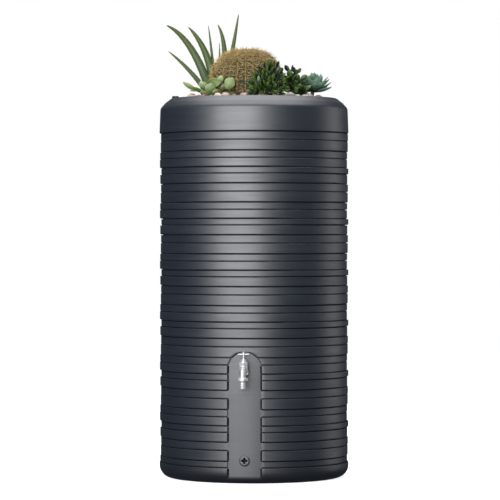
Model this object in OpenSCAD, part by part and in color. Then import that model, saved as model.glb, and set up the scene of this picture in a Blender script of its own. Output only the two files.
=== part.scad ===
// Upright rain barrel with a lift-out planter on top, a draw-off tap and a drain plug.
// Origin: centre of the underside. +Z up, the tap and its flat panel face -Y.

/* [Barrel] */
// Height of the barrel up to the rim
barrel_h = 1200; // [1200:1:1260]
// Radius of the ribbed bands
band_r = 297; // [296:0.5:300]
// Radius of the plain bands at the top and at the foot
plain_band_r = 300; // [299:0.5:304]
// Inside radius of the tank
cavity_r = 288; // [280:0.5:289]
// Thickness of the tank floor
floor_t = 8; // [5:0.5:12]
// Radius of the rounding under the foot
foot_round = 38; // [30:1:42]

/* [Ribbing] */
// How often the pattern of six bands repeats
band_repeats = 6; // [1:1:6]
// Bevel on the edges of each band
band_bevel = 1.5; // [1:0.1:2]

/* [Tap panel] */
// Width of the smooth panel behind the tap
panel_w = 106; // [90:1:120]
// Height of the top of the panel's arch
panel_top = 408; // [400:1:420]
// Radius of the panel's face about the barrel's axis
panel_r = 293; // [292:0.1:293.2]

/* [Rim and planter] */
// Radius of the rim's outer edge
rim_r = 262; // [260:0.5:264]
// Height of the sloping shoulder under the rim
shoulder_h = 32; // [28:1:36]
// Radius of the mouth that the planter hangs in
mouth_r = 231; // [228:0.5:232]
// Depth of the planter from its flange to its underside
planter_depth = 165; // [120:1:200]
// Wall of the planter
planter_wall = 3; // [2:0.5:4]
// Depth of the soil below the rim
soil_below_rim = 8; // [6:1:12]
// Number of pebbles round the planting
pebble_count = 44; // [30:1:46]

/* [Tap] */
// Height of the tap's inlet above the ground
inlet_z = 346; // [340:1:350]
// Distance of the valve's axis in front of the panel
valve_reach = 31; // [28:1:34]
// Distance of the spout in front of the valve's axis
spout_reach = 23; // [20:1:26]
// Half the length of the handle's cross bar
handle_half = 18.2; // [14:0.1:24]
// How far the valve opens
valve_rise = 4; // [2:0.5:4]
// Radius of the hose tail
hose_r = 9.8; // [8:0.1:9.9]

/* [Drain and filler] */
// Height of the drain plug's centre
drain_z = 72; // [66:1:80]
// Radius of the drain plug's head
drain_head_r = 14.4; // [13.8:0.1:15.5]
// Distance of the filler plug from the barrel's axis
filler_reach = 249.5; // [249:0.1:250]
// Radius of the filler plug's knob
filler_knob_r = 11; // [9:0.1:11.5]

/* [Hidden] */
$fn = 96;

// colours
tank_grey = [0.30, 0.33, 0.36];
seal_black = [0.06, 0.06, 0.06];
brass = [0.72, 0.56, 0.28];
chrome = [0.78, 0.79, 0.80];

// one repeat of the ribbing from the top down: height and sideways shift of each disc
band_h = [25.5, 33.5, 22.5, 28, 20, 30.5];
band_shift = [[1.2, 3.3], [0.9, -0.9], [-1.2, 1.8], [-1.5, -2.4], [2.7, -0.2], [-0.6, -1.4]];
function total(list, n) = n == 0 ? 0 : list[n - 1] + total(list, n - 1);
repeat_h = total(band_h, len(band_h));
cap_h = 34;
cap_plain_h = 35;
last_bands = 3;
ribs_top = barrel_h - shoulder_h - cap_h - cap_plain_h - 11;
foot_h = ribs_top - band_repeats * repeat_h - total(band_h, last_bands) + 3;

// rim, ledge and planter
deck_t = 10;
ledge_z = barrel_h - 5;
ledge_r = mouth_r + 6.4;
flange_r = mouth_r + 6;
planter_top_r = mouth_r - 1;
planter_foot_r = 205;
planter_z = ledge_z - planter_depth;
soil_z = barrel_h - soil_below_rim;
mat_t = 4;
drain_hole_r = 5;
drain_holes = 6;
planting_turn = 5.7;

// walls round the two threaded holes in the panel
boss_r = 22;
boss_depth = 25;
spot_face = panel_r - 1.5;
insert_r = 16;
bush_r = 14;

// tap
shank_r = 10.4;
valve_y = -(panel_r + valve_reach);
spout_y = valve_y - spout_reach;
seal_t = 2;
collar_y = -(spot_face + seal_t);
seat_z = inlet_z + 4;
chamber_r = 13.2;
chamber_bore = 10;
bonnet_z = seat_z + 18;
bonnet_h = 11;
gland_z = bonnet_z + bonnet_h;
gland_h = 8;
handle_z = gland_z + 23;
spout_z = seat_z + 6;
outlet_z = inlet_z - 21;
outlet_h = 7;
thread_play = 0.1;
nut_r = 16.4;
nut_h = 8.5;
nut_z = outlet_z + 4.5 - nut_h;
nut_lip = 1.5;
tail_flange_t = 1.5;
tail_end_z = nut_z - 25;
tail_bore = 7;

// drain plug, measured outwards from the spot face
bush_flange_t = 3;
drain_seal_t = 1;
drain_head_t = 4;
drain_shank_r = 11.1;
key_w = 6.5;
key_l = 19.4;
key_depth = 10;

// filler plug
filler_angle = 185.7;
filler_shank_r = 5.9;
filler_seal_t = 2;
filler_knob_h = 6.5;

// geometry helpers
module at_front(z, y = 0) {
    translate([0, y, z]) rotate([90, 0, 0]) children();
}
module ring(outer, inner, h) {
    difference() {
        cylinder(r = outer, h = h);
        translate([0, 0, -1]) cylinder(r = inner, h = h + 2);
    }
}
module disc(r, z0, z1) {
    b = band_bevel;
    rotate_extrude() polygon([[0, z0], [r - b, z0], [r, z0 + b], [r, z1 - b], [r - b, z1], [0, z1]]);
}
module ribbed_bands() {
    for (k = [0:band_repeats]) {
        top = ribs_top - k * repeat_h;
        bands = k < band_repeats ? len(band_h) : last_bands;
        for (i = [0:bands - 1]) {
            z1 = top - total(band_h, i);
            z0 = k == band_repeats && i == bands - 1 ? foot_h : z1 - band_h[i];
            translate([band_shift[i][0], band_shift[i][1], 0]) disc(band_r, z0, z1);
        }
    }
}
module foot_band() {
    arc = [for (a = [0:10:90])
        [plain_band_r - foot_round * (1 - sin(a)), foot_round * (1 - cos(a))]];
    top = [[plain_band_r, foot_h - band_bevel], [plain_band_r - band_bevel, foot_h], [0, foot_h]];
    rotate_extrude() polygon(concat([[0, 0]], arc, top));
}
module cap_bands() {
    z0 = ribs_top;
    z1 = z0 + cap_plain_h;
    z2 = barrel_h - shoulder_h;
    disc(plain_band_r, z0, z1);
    rotate_extrude() polygon([
        [0, z1], [plain_band_r - band_bevel, z1], [plain_band_r, z1 + band_bevel],
        [band_r, z2 - 2], [band_r - 1.5, z2 + 3], [rim_r + 2, barrel_h - 2], [rim_r - 1, barrel_h],
        [0, barrel_h]
    ]);
}
module panel_outline() {
    translate([-panel_w / 2, -1]) square([panel_w, panel_top - panel_w / 2 + 1]);
    translate([0, panel_top - panel_w / 2]) circle(r = panel_w / 2);
}
module panel_cut() {
    difference() {
        at_front(0, -panel_r + 40) linear_extrude(height = 80) panel_outline();
        translate([0, 0, -5]) cylinder(r = panel_r, h = panel_top + 20);
    }
}
module boss(z) {
    at_front(z, -panel_r + boss_depth) cylinder(r = boss_r, h = boss_depth);
}
module tank_cavity() {
    top = barrel_h - deck_t;
    difference() {
        rotate_extrude() polygon([
            [0, floor_t], [cavity_r - 26, floor_t], [cavity_r, floor_t + 26],
            [cavity_r, top - 30], [cavity_r - 30, top], [0, top]
        ]);
        boss(inlet_z);
        boss(drain_z);
    }
    translate([0, 0, top - 1]) cylinder(r = mouth_r, h = deck_t);
    translate([0, 0, ledge_z]) cylinder(r = ledge_r, h = deck_t);
}

module tank_shell() {
    color(tank_grey) difference() {
        union() {
            ribbed_bands();
            foot_band();
            cap_bands();
        }
        panel_cut();
        tank_cavity();
        at_front(inlet_z, -spot_face) cylinder(r = insert_r + 2, h = 20);
        at_front(inlet_z, -panel_r + boss_depth + 5) cylinder(r = insert_r, h = boss_depth + 5);
        at_front(drain_z, -spot_face) cylinder(r = 18, h = 20);
        at_front(drain_z, -panel_r + boss_depth + 5) cylinder(r = bush_r, h = boss_depth + 5);
        rotate([0, 0, filler_angle]) translate([filler_reach, 0, barrel_h - 2 * deck_t])
            cylinder(r = filler_shank_r + thread_play, h = 3 * deck_t);
    }
}
module tap_insert() {
    color(brass) at_front(inlet_z, -panel_r + boss_depth)
        ring(insert_r, shank_r + thread_play, boss_depth - (panel_r - spot_face));
}
module drain_bush() {
    color(tank_grey) {
        at_front(drain_z, -panel_r + boss_depth)
            ring(bush_r, drain_shank_r + thread_play, boss_depth - (panel_r - spot_face));
        at_front(drain_z, -spot_face) ring(17, drain_shank_r + thread_play, bush_flange_t);
    }
}
module tap_wall_seal() {
    color(seal_black) at_front(inlet_z, -spot_face) ring(14, shank_r + thread_play, seal_t);
}
module tap_body() {
    color(chrome) difference() {
        union() {
            at_front(inlet_z, collar_y + 20) cylinder(r = shank_r, h = 20);
            at_front(inlet_z, collar_y) cylinder(r = 14, h = 7, $fn = 6);
            at_front(inlet_z, collar_y) cylinder(r = 9.4, h = -valve_y + collar_y);
            translate([0, valve_y, inlet_z - 6]) cylinder(r = chamber_r, h = bonnet_z - inlet_z + 6);
            translate([0, valve_y, inlet_z - 12]) cylinder(r1 = 7, r2 = chamber_r, h = 6);
            at_front(spout_z, valve_y) cylinder(r = 8.6, h = spout_reach);
            translate([0, spout_y, spout_z]) sphere(r = 8.6);
            translate([0, spout_y, outlet_z]) cylinder(r = 8.6, h = spout_z - outlet_z);
            translate([0, spout_y, outlet_z]) cylinder(r = 13.1, h = outlet_h);
        }
        at_front(inlet_z, collar_y + 21) cylinder(r = 6, h = -valve_y + collar_y + 21);
        translate([0, valve_y, inlet_z - 6]) cylinder(r = 7.5, h = 8);
        translate([0, valve_y, inlet_z]) cylinder(r = 5.5, h = 10);
        translate([0, valve_y, seat_z]) cylinder(r = chamber_bore, h = 20);
        translate([0, valve_y, seat_z + 12]) cylinder(r = chamber_bore + 1, h = 10);
        at_front(spout_z, valve_y) cylinder(r = 5, h = spout_reach);
        translate([0, spout_y, spout_z]) sphere(r = 5);
        translate([0, spout_y, outlet_z - 1]) cylinder(r = 5, h = spout_z - outlet_z + 1);
    }
}
module tap_bonnet() {
    color(chrome) translate([0, valve_y, bonnet_z]) difference() {
        union() {
            cylinder(r = 15, h = bonnet_h - 2, $fn = 6);
            cylinder(r = 12.6, h = bonnet_h);
            translate([0, 0, -5]) cylinder(r = chamber_bore + 1 - thread_play, h = 6);
        }
        translate([0, 0, -6]) cylinder(r = 5.6, h = bonnet_h + 8);
        translate([0, 0, 3]) cylinder(r = 7, h = bonnet_h);
    }
}
module bonnet_seal() {
    color(seal_black) translate([0, valve_y, bonnet_z - 6]) ring(chamber_bore + 0.9, 8.5, 1);
}
module gland_nut() {
    color(chrome) translate([0, valve_y, gland_z]) difference() {
        union() {
            translate([0, 0, -4]) cylinder(r = 6.9, h = 5);
            cylinder(r = 8.9, h = gland_h - 4);
            translate([0, 0, gland_h - 4]) cylinder(r1 = 8.9, r2 = 5.6, h = 4);
        }
        translate([0, 0, -5]) cylinder(r = 4 + thread_play, h = gland_h + 6);
    }
}
module gland_packing() {
    color(seal_black) translate([0, valve_y, bonnet_z + 3]) ring(6.9, 4 + thread_play, 4);
}
module tap_spindle() {
    foot_z = seat_z + 5.2;
    color(brass) translate([0, valve_y, 0]) difference() {
        union() {
            translate([0, 0, foot_z]) cylinder(r = 5.5, h = 11);
            translate([0, 0, foot_z]) cylinder(r = 4, h = handle_z - 5 - foot_z);
            translate([0, 0, gland_z + gland_h + 5]) cylinder(r = 4.6, h = 3);
            translate([0, 0, handle_z - 6]) cylinder(r = 2.4, h = 8);
        }
        translate([0, 0, foot_z - 1]) cylinder(r = 2.7, h = 9);
        translate([0, 0, handle_z - 3]) cylinder(r = 1.5, h = 8);
    }
}
module valve_jumper() {
    color(brass) translate([0, valve_y, seat_z]) {
        translate([0, 0, 0.5]) cylinder(r = 1.9, h = 3);
        translate([0, 0, 3]) cylinder(r = 7, h = 2);
        translate([0, 0, 4]) cylinder(r = 2.5, h = 8);
    }
}
module valve_washer() {
    color(seal_black) translate([0, valve_y, seat_z]) ring(6.8, 2, 3);
}
module tap_handle() {
    color(chrome) translate([0, valve_y, handle_z]) difference() {
        union() {
            translate([0, 0, -5]) cylinder(r = 5.2, h = 9);
            rotate([0, 90, 0]) rotate_extrude() polygon([
                [0, -handle_half], [2, -handle_half], [3.2, -handle_half + 2], [2.9, -handle_half + 5],
                [2.9, handle_half - 5], [3.2, handle_half - 2], [2, handle_half], [0, handle_half]
            ]);
        }
        translate([0, 0, -6]) cylinder(r = 2.4, h = 8);
        translate([0, 0, 1]) cylinder(r = 1.8, h = 6);
    }
}
module handle_screw() {
    color(chrome) translate([0, valve_y, handle_z]) {
        translate([0, 0, -2.5]) cylinder(r = 1.5, h = 7);
        translate([0, 0, 4]) cylinder(r = 3.4, h = 2);
        translate([0, 0, 6]) cylinder(r1 = 3.4, r2 = 2, h = 1.5);
    }
}
module union_nut() {
    color(chrome) translate([0, spout_y, nut_z]) difference() {
        cylinder(r = nut_r, h = nut_h);
        translate([0, 0, -1]) cylinder(r = hose_r, h = nut_h);
        translate([0, 0, nut_lip]) cylinder(r = 13.1 + thread_play, h = nut_h);
    }
}
module hose_washer() {
    color(seal_black) translate([0, spout_y, outlet_z - 0.9]) ring(12.6, 7.5, 0.9);
}
module hose_tail() {
    color(chrome) translate([0, spout_y, 0]) difference() {
        union() {
            translate([0, 0, tail_end_z]) cylinder(r = hose_r, h = nut_z - tail_end_z - 0.5);
            translate([0, 0, nut_z - 1]) cylinder(r = hose_r - 0.3, h = 3.5);
            translate([0, 0, nut_z + nut_lip + 0.1]) cylinder(r = 12.8, h = tail_flange_t);
        }
        translate([0, 0, tail_end_z - 1]) cylinder(r = tail_bore, h = nut_z - tail_end_z + 10);
    }
}
module key_slot() {
    linear_extrude(height = key_depth + 1) for (a = [0, 90]) rotate([0, 0, a]) {
        square([key_l - key_w, key_w], center = true);
        for (s = [-1, 1]) translate([s * (key_l - key_w) / 2, 0]) circle(r = key_w / 2);
    }
}
module drain_plug() {
    seat_y = -(spot_face + bush_flange_t + drain_seal_t);
    color(tank_grey) difference() {
        union() {
            at_front(drain_z, seat_y) cylinder(r = drain_head_r, h = drain_head_t - 1);
            at_front(drain_z, seat_y - drain_head_t + 1)
                cylinder(r1 = drain_head_r, r2 = drain_head_r - 1, h = 1);
            at_front(drain_z, seat_y + 20) cylinder(r = drain_shank_r, h = 20);
        }
        at_front(drain_z, seat_y - drain_head_t + key_depth) key_slot();
    }
}
module drain_seal() {
    color(seal_black) at_front(drain_z, -(spot_face + bush_flange_t)) ring(13.6, 11.3, drain_seal_t);
}
module at_filler() {
    rotate([0, 0, filler_angle]) translate([filler_reach, 0, barrel_h]) children();
}
module filler_plug() {
    color(seal_black) at_filler() {
        translate([0, 0, -20]) cylinder(r = filler_shank_r, h = 20 + filler_seal_t + 1);
        translate([0, 0, filler_seal_t]) cylinder(r = filler_knob_r, h = filler_knob_h - 1.5);
        translate([0, 0, filler_seal_t + filler_knob_h - 1.5])
            cylinder(r1 = filler_knob_r, r2 = filler_knob_r - 1.5, h = 1.5);
    }
}
module filler_seal() {
    color(seal_black) at_filler() ring(9, filler_shank_r + thread_play, filler_seal_t);
}
module planter_bowl() {
    w = planter_wall;
    color(tank_grey) difference() {
        rotate_extrude() polygon([
            [0, planter_z], [planter_foot_r, planter_z], [planter_top_r, ledge_z], [flange_r, ledge_z],
            [flange_r, barrel_h], [planter_top_r - w, barrel_h], [planter_foot_r - w, planter_z + w + 1],
            [0, planter_z + w + 1]
        ]);
        for (i = [1:drain_holes]) rotate([0, 0, i * 360 / drain_holes])
            translate([planter_foot_r * 0.6, 0, planter_z - 1]) cylinder(r = drain_hole_r, h = 10);
    }
}
module drainage_mat() {
    color([0.55, 0.54, 0.50]) translate([0, 0, planter_z + planter_wall + 1])
        cylinder(r = planter_foot_r - planter_wall - 1, h = mat_t);
}
module soil() {
    z0 = planter_z + planter_wall + 1 + mat_t;
    color([0.17, 0.12, 0.08]) translate([0, 0, z0])
        cylinder(r1 = planter_foot_r - planter_wall - 0.5, r2 = planter_top_r - planter_wall - 2, h = soil_z - z0);
}

// plants stand in a frame turned about the barrel's axis; their flat undersides rest on the soil
module planting() {
    rotate([0, 0, planting_turn]) children();
}
module above_soil() {
    difference() {
        children();
        translate([-400, -400, soil_z - 400]) cube([800, 800, 400]);
    }
}
module pebbles() {
    ring_r = 211.5;
    color([0.80, 0.74, 0.70]) planting() for (i = [0:pebble_count - 1]) {
        size = 11.5 + 2 * sin(i * 137);
        rotate([0, 0, i * 360 / pebble_count]) translate([ring_r, 0, soil_z + size * 0.75]) difference() {
            sphere(r = size, $fn = 32);
            translate([-20, -20, -40 - size * 0.75]) cube([40, 40, 40]);
        }
    }
}
function along(p, t) = (1 - t) * (1 - t) * p[0] + 2 * t * (1 - t) * p[1] + t * t * p[2];
function heading(p, t) = 2 * (1 - t) * (p[1] - p[0]) + 2 * t * (p[2] - p[1]);
function unit(v) = v / norm(v);

// a tapering leaf along a bend from its base to its tip, wide across the view and thin front to back
module leaf(path, width, thick, rings = 8, sides = 8) {
    points = [for (i = [0:rings]) let (
        t = i / (rings + 0.5),
        way = unit(heading(path, t)),
        across = unit([way[2], 0, -way[0]]),
        deep = cross(across, way),
        taper = sqrt(1 - t * t) * (0.75 + 0.25 * (1 - t))
    ) for (s = [0:sides - 1]) along(path, t)
        + across * width / 2 * taper * cos(s * 360 / sides)
        + deep * thick / 2 * taper * sin(s * 360 / sides)];
    walls = [for (i = [0:rings - 1]) for (s = [0:sides - 1]) let (n = (s + 1) % sides)
        [i * sides + s, i * sides + n, (i + 1) * sides + n, (i + 1) * sides + s]];
    tip = [for (s = [sides - 1:-1:0]) rings * sides + s];
    base = [for (s = [0:sides - 1]) s];
    polyhedron(points, concat(walls, [base, tip]));
}
aloe_leaves = [
    [[-128, 108, 1190], [-196, 92, 1384], [-281, 74, 1440], 26],
    [[-122, 108, 1190], [-138, 102, 1368], [-210, 94, 1432], 20],
    [[-120, 113, 1190], [-133, 114, 1320], [-147, 114, 1442], 12],
    [[-104, 118, 1190], [-78, 116, 1380], [-117, 108, 1443], 22],
    [[-112, 112, 1190], [-110, 112, 1290], [-111, 112, 1387], 12],
    [[-106, 122, 1190], [-72, 120, 1330], [-49, 114, 1478], 18],
    [[-128, 102, 1190], [-190, 84, 1290], [-276, 72, 1355], 16],
    [[-106, 122, 1190], [-84, 160, 1260], [-42, 182, 1302], 16],
    [[-114, 124, 1190], [-118, 165, 1268], [-94, 198, 1306], 14]
];
module aloe() {
    lift = soil_z - 1192;
    color([0.36, 0.50, 0.42]) planting() above_soil() translate([0, 0, lift]) {
        translate([-116, 112, 1196]) sphere(r = 20, $fn = 24);
        for (b = aloe_leaves) leaf([b[0], b[1], b[2]], b[3], b[3] * 0.4);
    }
}
// flattened dome: a superellipse turned about its upright axis
cactus_r = 120;
cactus_low = 50;
cactus_square = 2.5;
function signed_power(v, n) = sign(v) * pow(abs(v), n);
module cactus() {
    outline = [for (a = [-20:10:90]) [
        cactus_r * signed_power(cos(a), 2 / cactus_square),
        cactus_low + cactus_r * signed_power(sin(a), 2 / cactus_square)
    ]];
    color([0.78, 0.68, 0.30]) planting() above_soil() translate([-24, -3, soil_z]) rotate_extrude()
        polygon(concat([[0, cactus_low - cactus_r]], outline));
}
module stem(x, y, r, h) {
    translate([x, y, soil_z]) cylinder(r = r, h = h);
}
module jade_plant() {
    color([0.25, 0.45, 0.18]) planting() {
        stem(5, -160, 5, 30);
        stem(55, -148, 5, 50);
        stem(128, -104, 4, 50);
        translate([5, -163, soil_z + 50]) sphere(r = 39);
        translate([54, -150, soil_z + 78]) sphere(r = 40);
        translate([135, -110, soil_z + 70]) sphere(r = 27);
    }
}
module echeveria() {
    color([0.45, 0.60, 0.55]) planting() {
        stem(180, -30, 8, 45);
        translate([194, -34, soil_z]) rotate_extrude()
            polygon([[0, 28], [30, 28], [56, 40], [60, 50], [50, 66], [24, 82], [0, 82]]);
    }
}
module peperomia() {
    color([0.55, 0.66, 0.35]) planting() {
        stem(-168, -70, 4, 50);
        stem(-128, -122, 4, 50);
        stem(-80, -158, 4, 50);
        translate([-182, -76, soil_z + 42]) foliage(38, 15);
        translate([-130, -126, soil_z + 50]) foliage(38, 22);
        translate([-80, -160, soil_z + 52]) foliage(35, 24);
    }
}
module foliage(r, h) {
    rotate_extrude() polygon([[0, -h], [r * 0.6, -h], [r, -h * 0.3], [r, h * 0.3], [r * 0.6, h], [0, h]]);
}

tank_shell();
tap_insert();
drain_bush();
tap_wall_seal();
tap_body();
tap_bonnet();
bonnet_seal();
gland_nut();
gland_packing();
tap_spindle();
valve_jumper();
valve_washer();
tap_handle();
handle_screw();
union_nut();
hose_washer();
hose_tail();
drain_plug();
drain_seal();
filler_plug();
filler_seal();
planter_bowl();
drainage_mat();
soil();
pebbles();
aloe();
cactus();
jade_plant();
echeveria();
peperomia();
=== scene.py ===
import math

import bmesh
import bpy
import numpy as np
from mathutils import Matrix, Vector


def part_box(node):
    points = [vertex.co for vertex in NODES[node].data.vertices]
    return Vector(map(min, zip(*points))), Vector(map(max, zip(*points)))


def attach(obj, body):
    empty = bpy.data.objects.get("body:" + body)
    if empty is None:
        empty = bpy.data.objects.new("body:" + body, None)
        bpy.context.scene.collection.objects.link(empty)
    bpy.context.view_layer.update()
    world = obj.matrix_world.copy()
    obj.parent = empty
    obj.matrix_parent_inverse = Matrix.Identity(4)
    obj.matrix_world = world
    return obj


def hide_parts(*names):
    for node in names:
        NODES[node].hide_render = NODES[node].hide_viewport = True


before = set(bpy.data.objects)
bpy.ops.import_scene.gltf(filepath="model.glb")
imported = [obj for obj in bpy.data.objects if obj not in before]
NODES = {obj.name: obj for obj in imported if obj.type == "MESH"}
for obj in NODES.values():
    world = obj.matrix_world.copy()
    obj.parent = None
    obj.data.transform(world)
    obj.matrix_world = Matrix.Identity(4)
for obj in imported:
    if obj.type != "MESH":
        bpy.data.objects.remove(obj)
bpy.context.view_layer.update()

# An upright ribbed rain barrel with a planted bowl in its mouth and a tap low on its front.
# Everything is in metres, +Z up, the tap facing -Y, as in the frame. Shapes are worked out in
# millimetres, the unit the maker works in, and scaled when they become a mesh.

MM = 0.001
TURN = 2 * math.pi


# ---------------------------------------------------------------- sizes

def box_mm(node):
    """Lowest and highest corner of a frame node, in millimetres."""
    low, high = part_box(node)
    return np.array(low) / MM, np.array(high) / MM


def middle(node):
    """The middle of a frame node's box, in millimetres."""
    low, high = box_mm(node)
    return (low + high) / 2


# outline of the barrel: plain bands at foot and top, shoulder, rim, mouth, and the cavity inside
BARREL_H = box_mm("tank_shell")[1][2]
PLAIN_R = 300.0
FOOT_ROUND = 38.0
CAP_PLAIN_H = 35.0
CAP_CONE_H = 45.0
SHOULDER_H = 32.0
RIM_R = 262.0
LEDGE_R = 237.4
LEDGE_DEEP = 5.0
MOUTH_R = 231.0
DECK_T = 10.0
CAVITY_R = 288.0
FLOOR_T = 8.0

# The wall between foot and top is a stack of discs, each shifted off the barrel's axis by its own
# (x, y). Six make a group, counted from the top, that repeats down the wall.
BAND_R = 297.0
BAND_H = (25.5, 33.5, 22.5, 28.0, 20.0, 30.5)
BAND_SHIFT = ((1.2, 3.3), (0.9, -0.9), (-1.2, 1.8), (-1.5, -2.4), (2.7, -0.2), (-0.6, -1.4))
BAND_REPEATS = 6
LAST_BANDS = 3
LAST_SHORTER = 3
RIBS_TOP = BARREL_H - SHOULDER_H - CAP_CONE_H - CAP_PLAIN_H
REPEAT_H = sum(BAND_H)
FOOT_H = RIBS_TOP - BAND_REPEATS * REPEAT_H - sum(BAND_H[:LAST_BANDS]) + LAST_SHORTER

# Each disc has a rounded upper edge and, where it overhangs the one below, an undercut lower edge.
# A groove parts it from its neighbour, deeper under an overhang.
EDGE_ROUND = 1.3
UNDERCUT_H = 2.8
UNDERCUT = 3.4
FLAT_FROM = 0.5
GROOVE_HALF = 0.8
GROOVE_LIP = 0.1
GROOVE_DEEP = 6.5
GROOVE_SHALLOW = 0.9
OVERHANG_FROM = 0.4
OVERHANG_FADE = 1.2
THIN_WALL = 1.5

# the arched panel on the front
PANEL_HALF = 53.0
PANEL_TOP = 408.0
PANEL_R = 293.0
PANEL_GAP_DEEP = 3.4
ARCH_CROWN = 6.0
CROWN_FADE = 110

PLANTING_TURN = math.radians(5.7)
SOIL_Z = box_mm("soil")[1][2]
GOLDEN_ANGLE = math.pi * (3 - math.sqrt(5))


# ---------------------------------------------------------------- mesh making

def make_mesh(name, points, faces, smooth=True):
    """A mesh object from points in millimetres and a list or array of faces."""
    mesh = bpy.data.meshes.new(name)
    mesh.from_pydata((np.asarray(points) * MM).tolist(), [], [tuple(f) for f in faces])
    mesh.polygons.foreach_set("use_smooth", np.full(len(mesh.polygons), smooth))
    mesh.update()
    piece = bpy.data.objects.new(name, mesh)
    bpy.context.scene.collection.objects.link(piece)
    return piece


def grid_faces(rows, cols, wrap_rows=False):
    """Quads of a rows x cols grid of points, each row joined round and, if asked, last row to first."""
    i = np.arange(rows if wrap_rows else rows - 1)[:, None]
    j = np.arange(cols)[None, :]
    ni = (i + 1) % rows
    nj = (j + 1) % cols
    quads = np.stack([i * cols + j, i * cols + nj, ni * cols + nj, ni * cols + j], axis=-1)
    return quads.reshape(-1, 4)


def closed_grid(grid):
    """Points and faces of a tube of rings, closed at both ends by a point in the middle of each end ring.

    grid is rings x points-in-a-ring x 3."""
    rows, cols, _ = grid.shape
    points = np.vstack([grid.reshape(-1, 3), grid[0].mean(0), grid[-1].mean(0)])
    faces = grid_faces(rows, cols).tolist()
    first, last = rows * cols, rows * cols + 1
    for j in range(cols):
        n = (j + 1) % cols
        faces.append((first, n, j))
        faces.append((last, (rows - 1) * cols + j, (rows - 1) * cols + n))
    return points, faces


def many(parts):
    """One set of points and faces from a list of (points, faces) pairs."""
    points, faces, start = [], [], 0
    for p, f in parts:
        points.append(p)
        faces.extend([tuple(k + start for k in face) for face in f])
        start += len(p)
    return np.vstack(points), faces


FILLET_SHARE = 0.48


def filleted(corners, steps):
    """A profile (radius, height) whose corners (r, h, fillet) are rounded by arcs tangent to both sides.

    No arc takes more than FILLET_SHARE of the side it runs into. steps is the pieces in each arc."""
    pts = np.array([c[:2] for c in corners], float)
    out = []
    for k, (r, h, fillet) in enumerate(corners):
        if fillet <= 0 or k in (0, len(corners) - 1):
            out.append((r, h))
            continue
        a, b = pts[k - 1] - pts[k], pts[k + 1] - pts[k]
        la, lb = np.linalg.norm(a), np.linalg.norm(b)
        a, b = a / la, b / lb
        half = math.acos(np.clip(np.dot(a, b), -1, 1)) / 2
        reach = min(fillet / math.tan(half), la * FILLET_SHARE, lb * FILLET_SHARE)
        radius = reach * math.tan(half)
        centre = pts[k] + (a + b) / np.linalg.norm(a + b) * radius / math.sin(half)
        p, q = pts[k] + a * reach - centre, pts[k] + b * reach - centre
        sweep = math.pi - 2 * half
        for s in range(steps + 1):
            t = s / steps
            mix = (math.sin((1 - t) * sweep) * p + math.sin(t * sweep) * q) / math.sin(sweep)
            out.append(tuple(centre + mix))
    return np.array(out)


def axes_of(direction):
    """Two unit vectors square to a direction, and the direction, as the rows of a matrix."""
    d = np.array(direction, float)
    d /= np.linalg.norm(d)
    side = np.cross(d, [0, 0, 1]) if abs(d[2]) < 0.9 else np.array([1.0, 0, 0])
    side = side / np.linalg.norm(side)
    return np.array([side, np.cross(d, side), d])


def turned(profile, centre, direction=(0, 0, 1), segments=64, shape=None, ring=False):
    """Points and faces of a profile (radius, height) turned about an axis through centre.

    The profile runs so that it goes up along the axis on the outside. shape(angle, radius, height)
    may change the radius. ring joins the profile's last point to its first, for a piece with a bore."""
    a = np.arange(segments) / segments * TURN
    r = profile[:, 0][:, None] * np.ones(segments)
    h = profile[:, 1][:, None] * np.ones(segments)
    if shape is not None:
        r = shape(a[None, :] + 0 * r, r, h)
    u, v, w = axes_of(direction)
    grid = (r * np.cos(a))[..., None] * u + (r * np.sin(a))[..., None] * v + h[..., None] * w
    grid = grid + np.array(centre, float)
    if ring:
        return grid.reshape(-1, 3), grid_faces(len(profile), segments, wrap_rows=True).tolist()
    return closed_grid(grid)


def tube(path, radii, sides):
    """Points and faces of a round tube swept along a path, each ring square to the path there.

    A ring starts from the direction that is square to both the path and +Y."""
    path = np.asarray(path, float)
    radii = np.broadcast_to(np.asarray(radii, float), (len(path),))[:, None]
    way = np.gradient(path, axis=0)
    way /= np.linalg.norm(way, axis=1)[:, None]
    side = np.cross(way, [0.0, 1.0, 0.0])
    side[np.linalg.norm(side, axis=1) < 1e-3] = [1.0, 0.0, 0.0]
    side /= np.linalg.norm(side, axis=1)[:, None]
    up = np.cross(way, side)
    a = np.arange(sides) / sides * TURN
    grid = path[:, None] + (radii * np.cos(a))[..., None] * side[:, None] \
        + (radii * np.sin(a))[..., None] * up[:, None]
    return closed_grid(grid)


def bend(p0, p1, p2, steps):
    """Points on a curve from p0 to p2 that leaves and arrives along the lines through p1."""
    t = np.linspace(0, 1, steps)[:, None]
    p0, p1, p2 = (np.array(p, float) for p in (p0, p1, p2))
    return (1 - t) ** 2 * p0 + 2 * t * (1 - t) * p1 + t ** 2 * p2


def spun(points, angle):
    """Points turned about the upright axis through the origin."""
    c, s = math.cos(angle), math.sin(angle)
    return np.asarray(points, float) @ np.array([[c, s, 0], [-s, c, 0], [0, 0, 1]])


def planted(points):
    """Turns points of the planting about the barrel's axis into the frame."""
    return spun(points, PLANTING_TURN)


def attribute(piece, name, values):
    """Stores one number per point, for the piece's material to read."""
    store = piece.data.attributes.new(name, "FLOAT", "POINT")
    store.data.foreach_set("value", np.asarray(values, float).ravel())


def place(piece, body, finish, slot, *stands_for):
    """Gives a piece its finish and the body it rides on, and hides the nodes it replaces. slot is not used.
    """
    piece.data.materials.clear()
    piece.data.materials.append(finish)
    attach(piece, body)
    if stands_for:
        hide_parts(*stands_for)


# ---------------------------------------------------------------- finishes

# sockets of a Mix node set to colours: the two colours and the result
MIX_A, MIX_B, MIX_RESULT = 6, 7, 2


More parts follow.
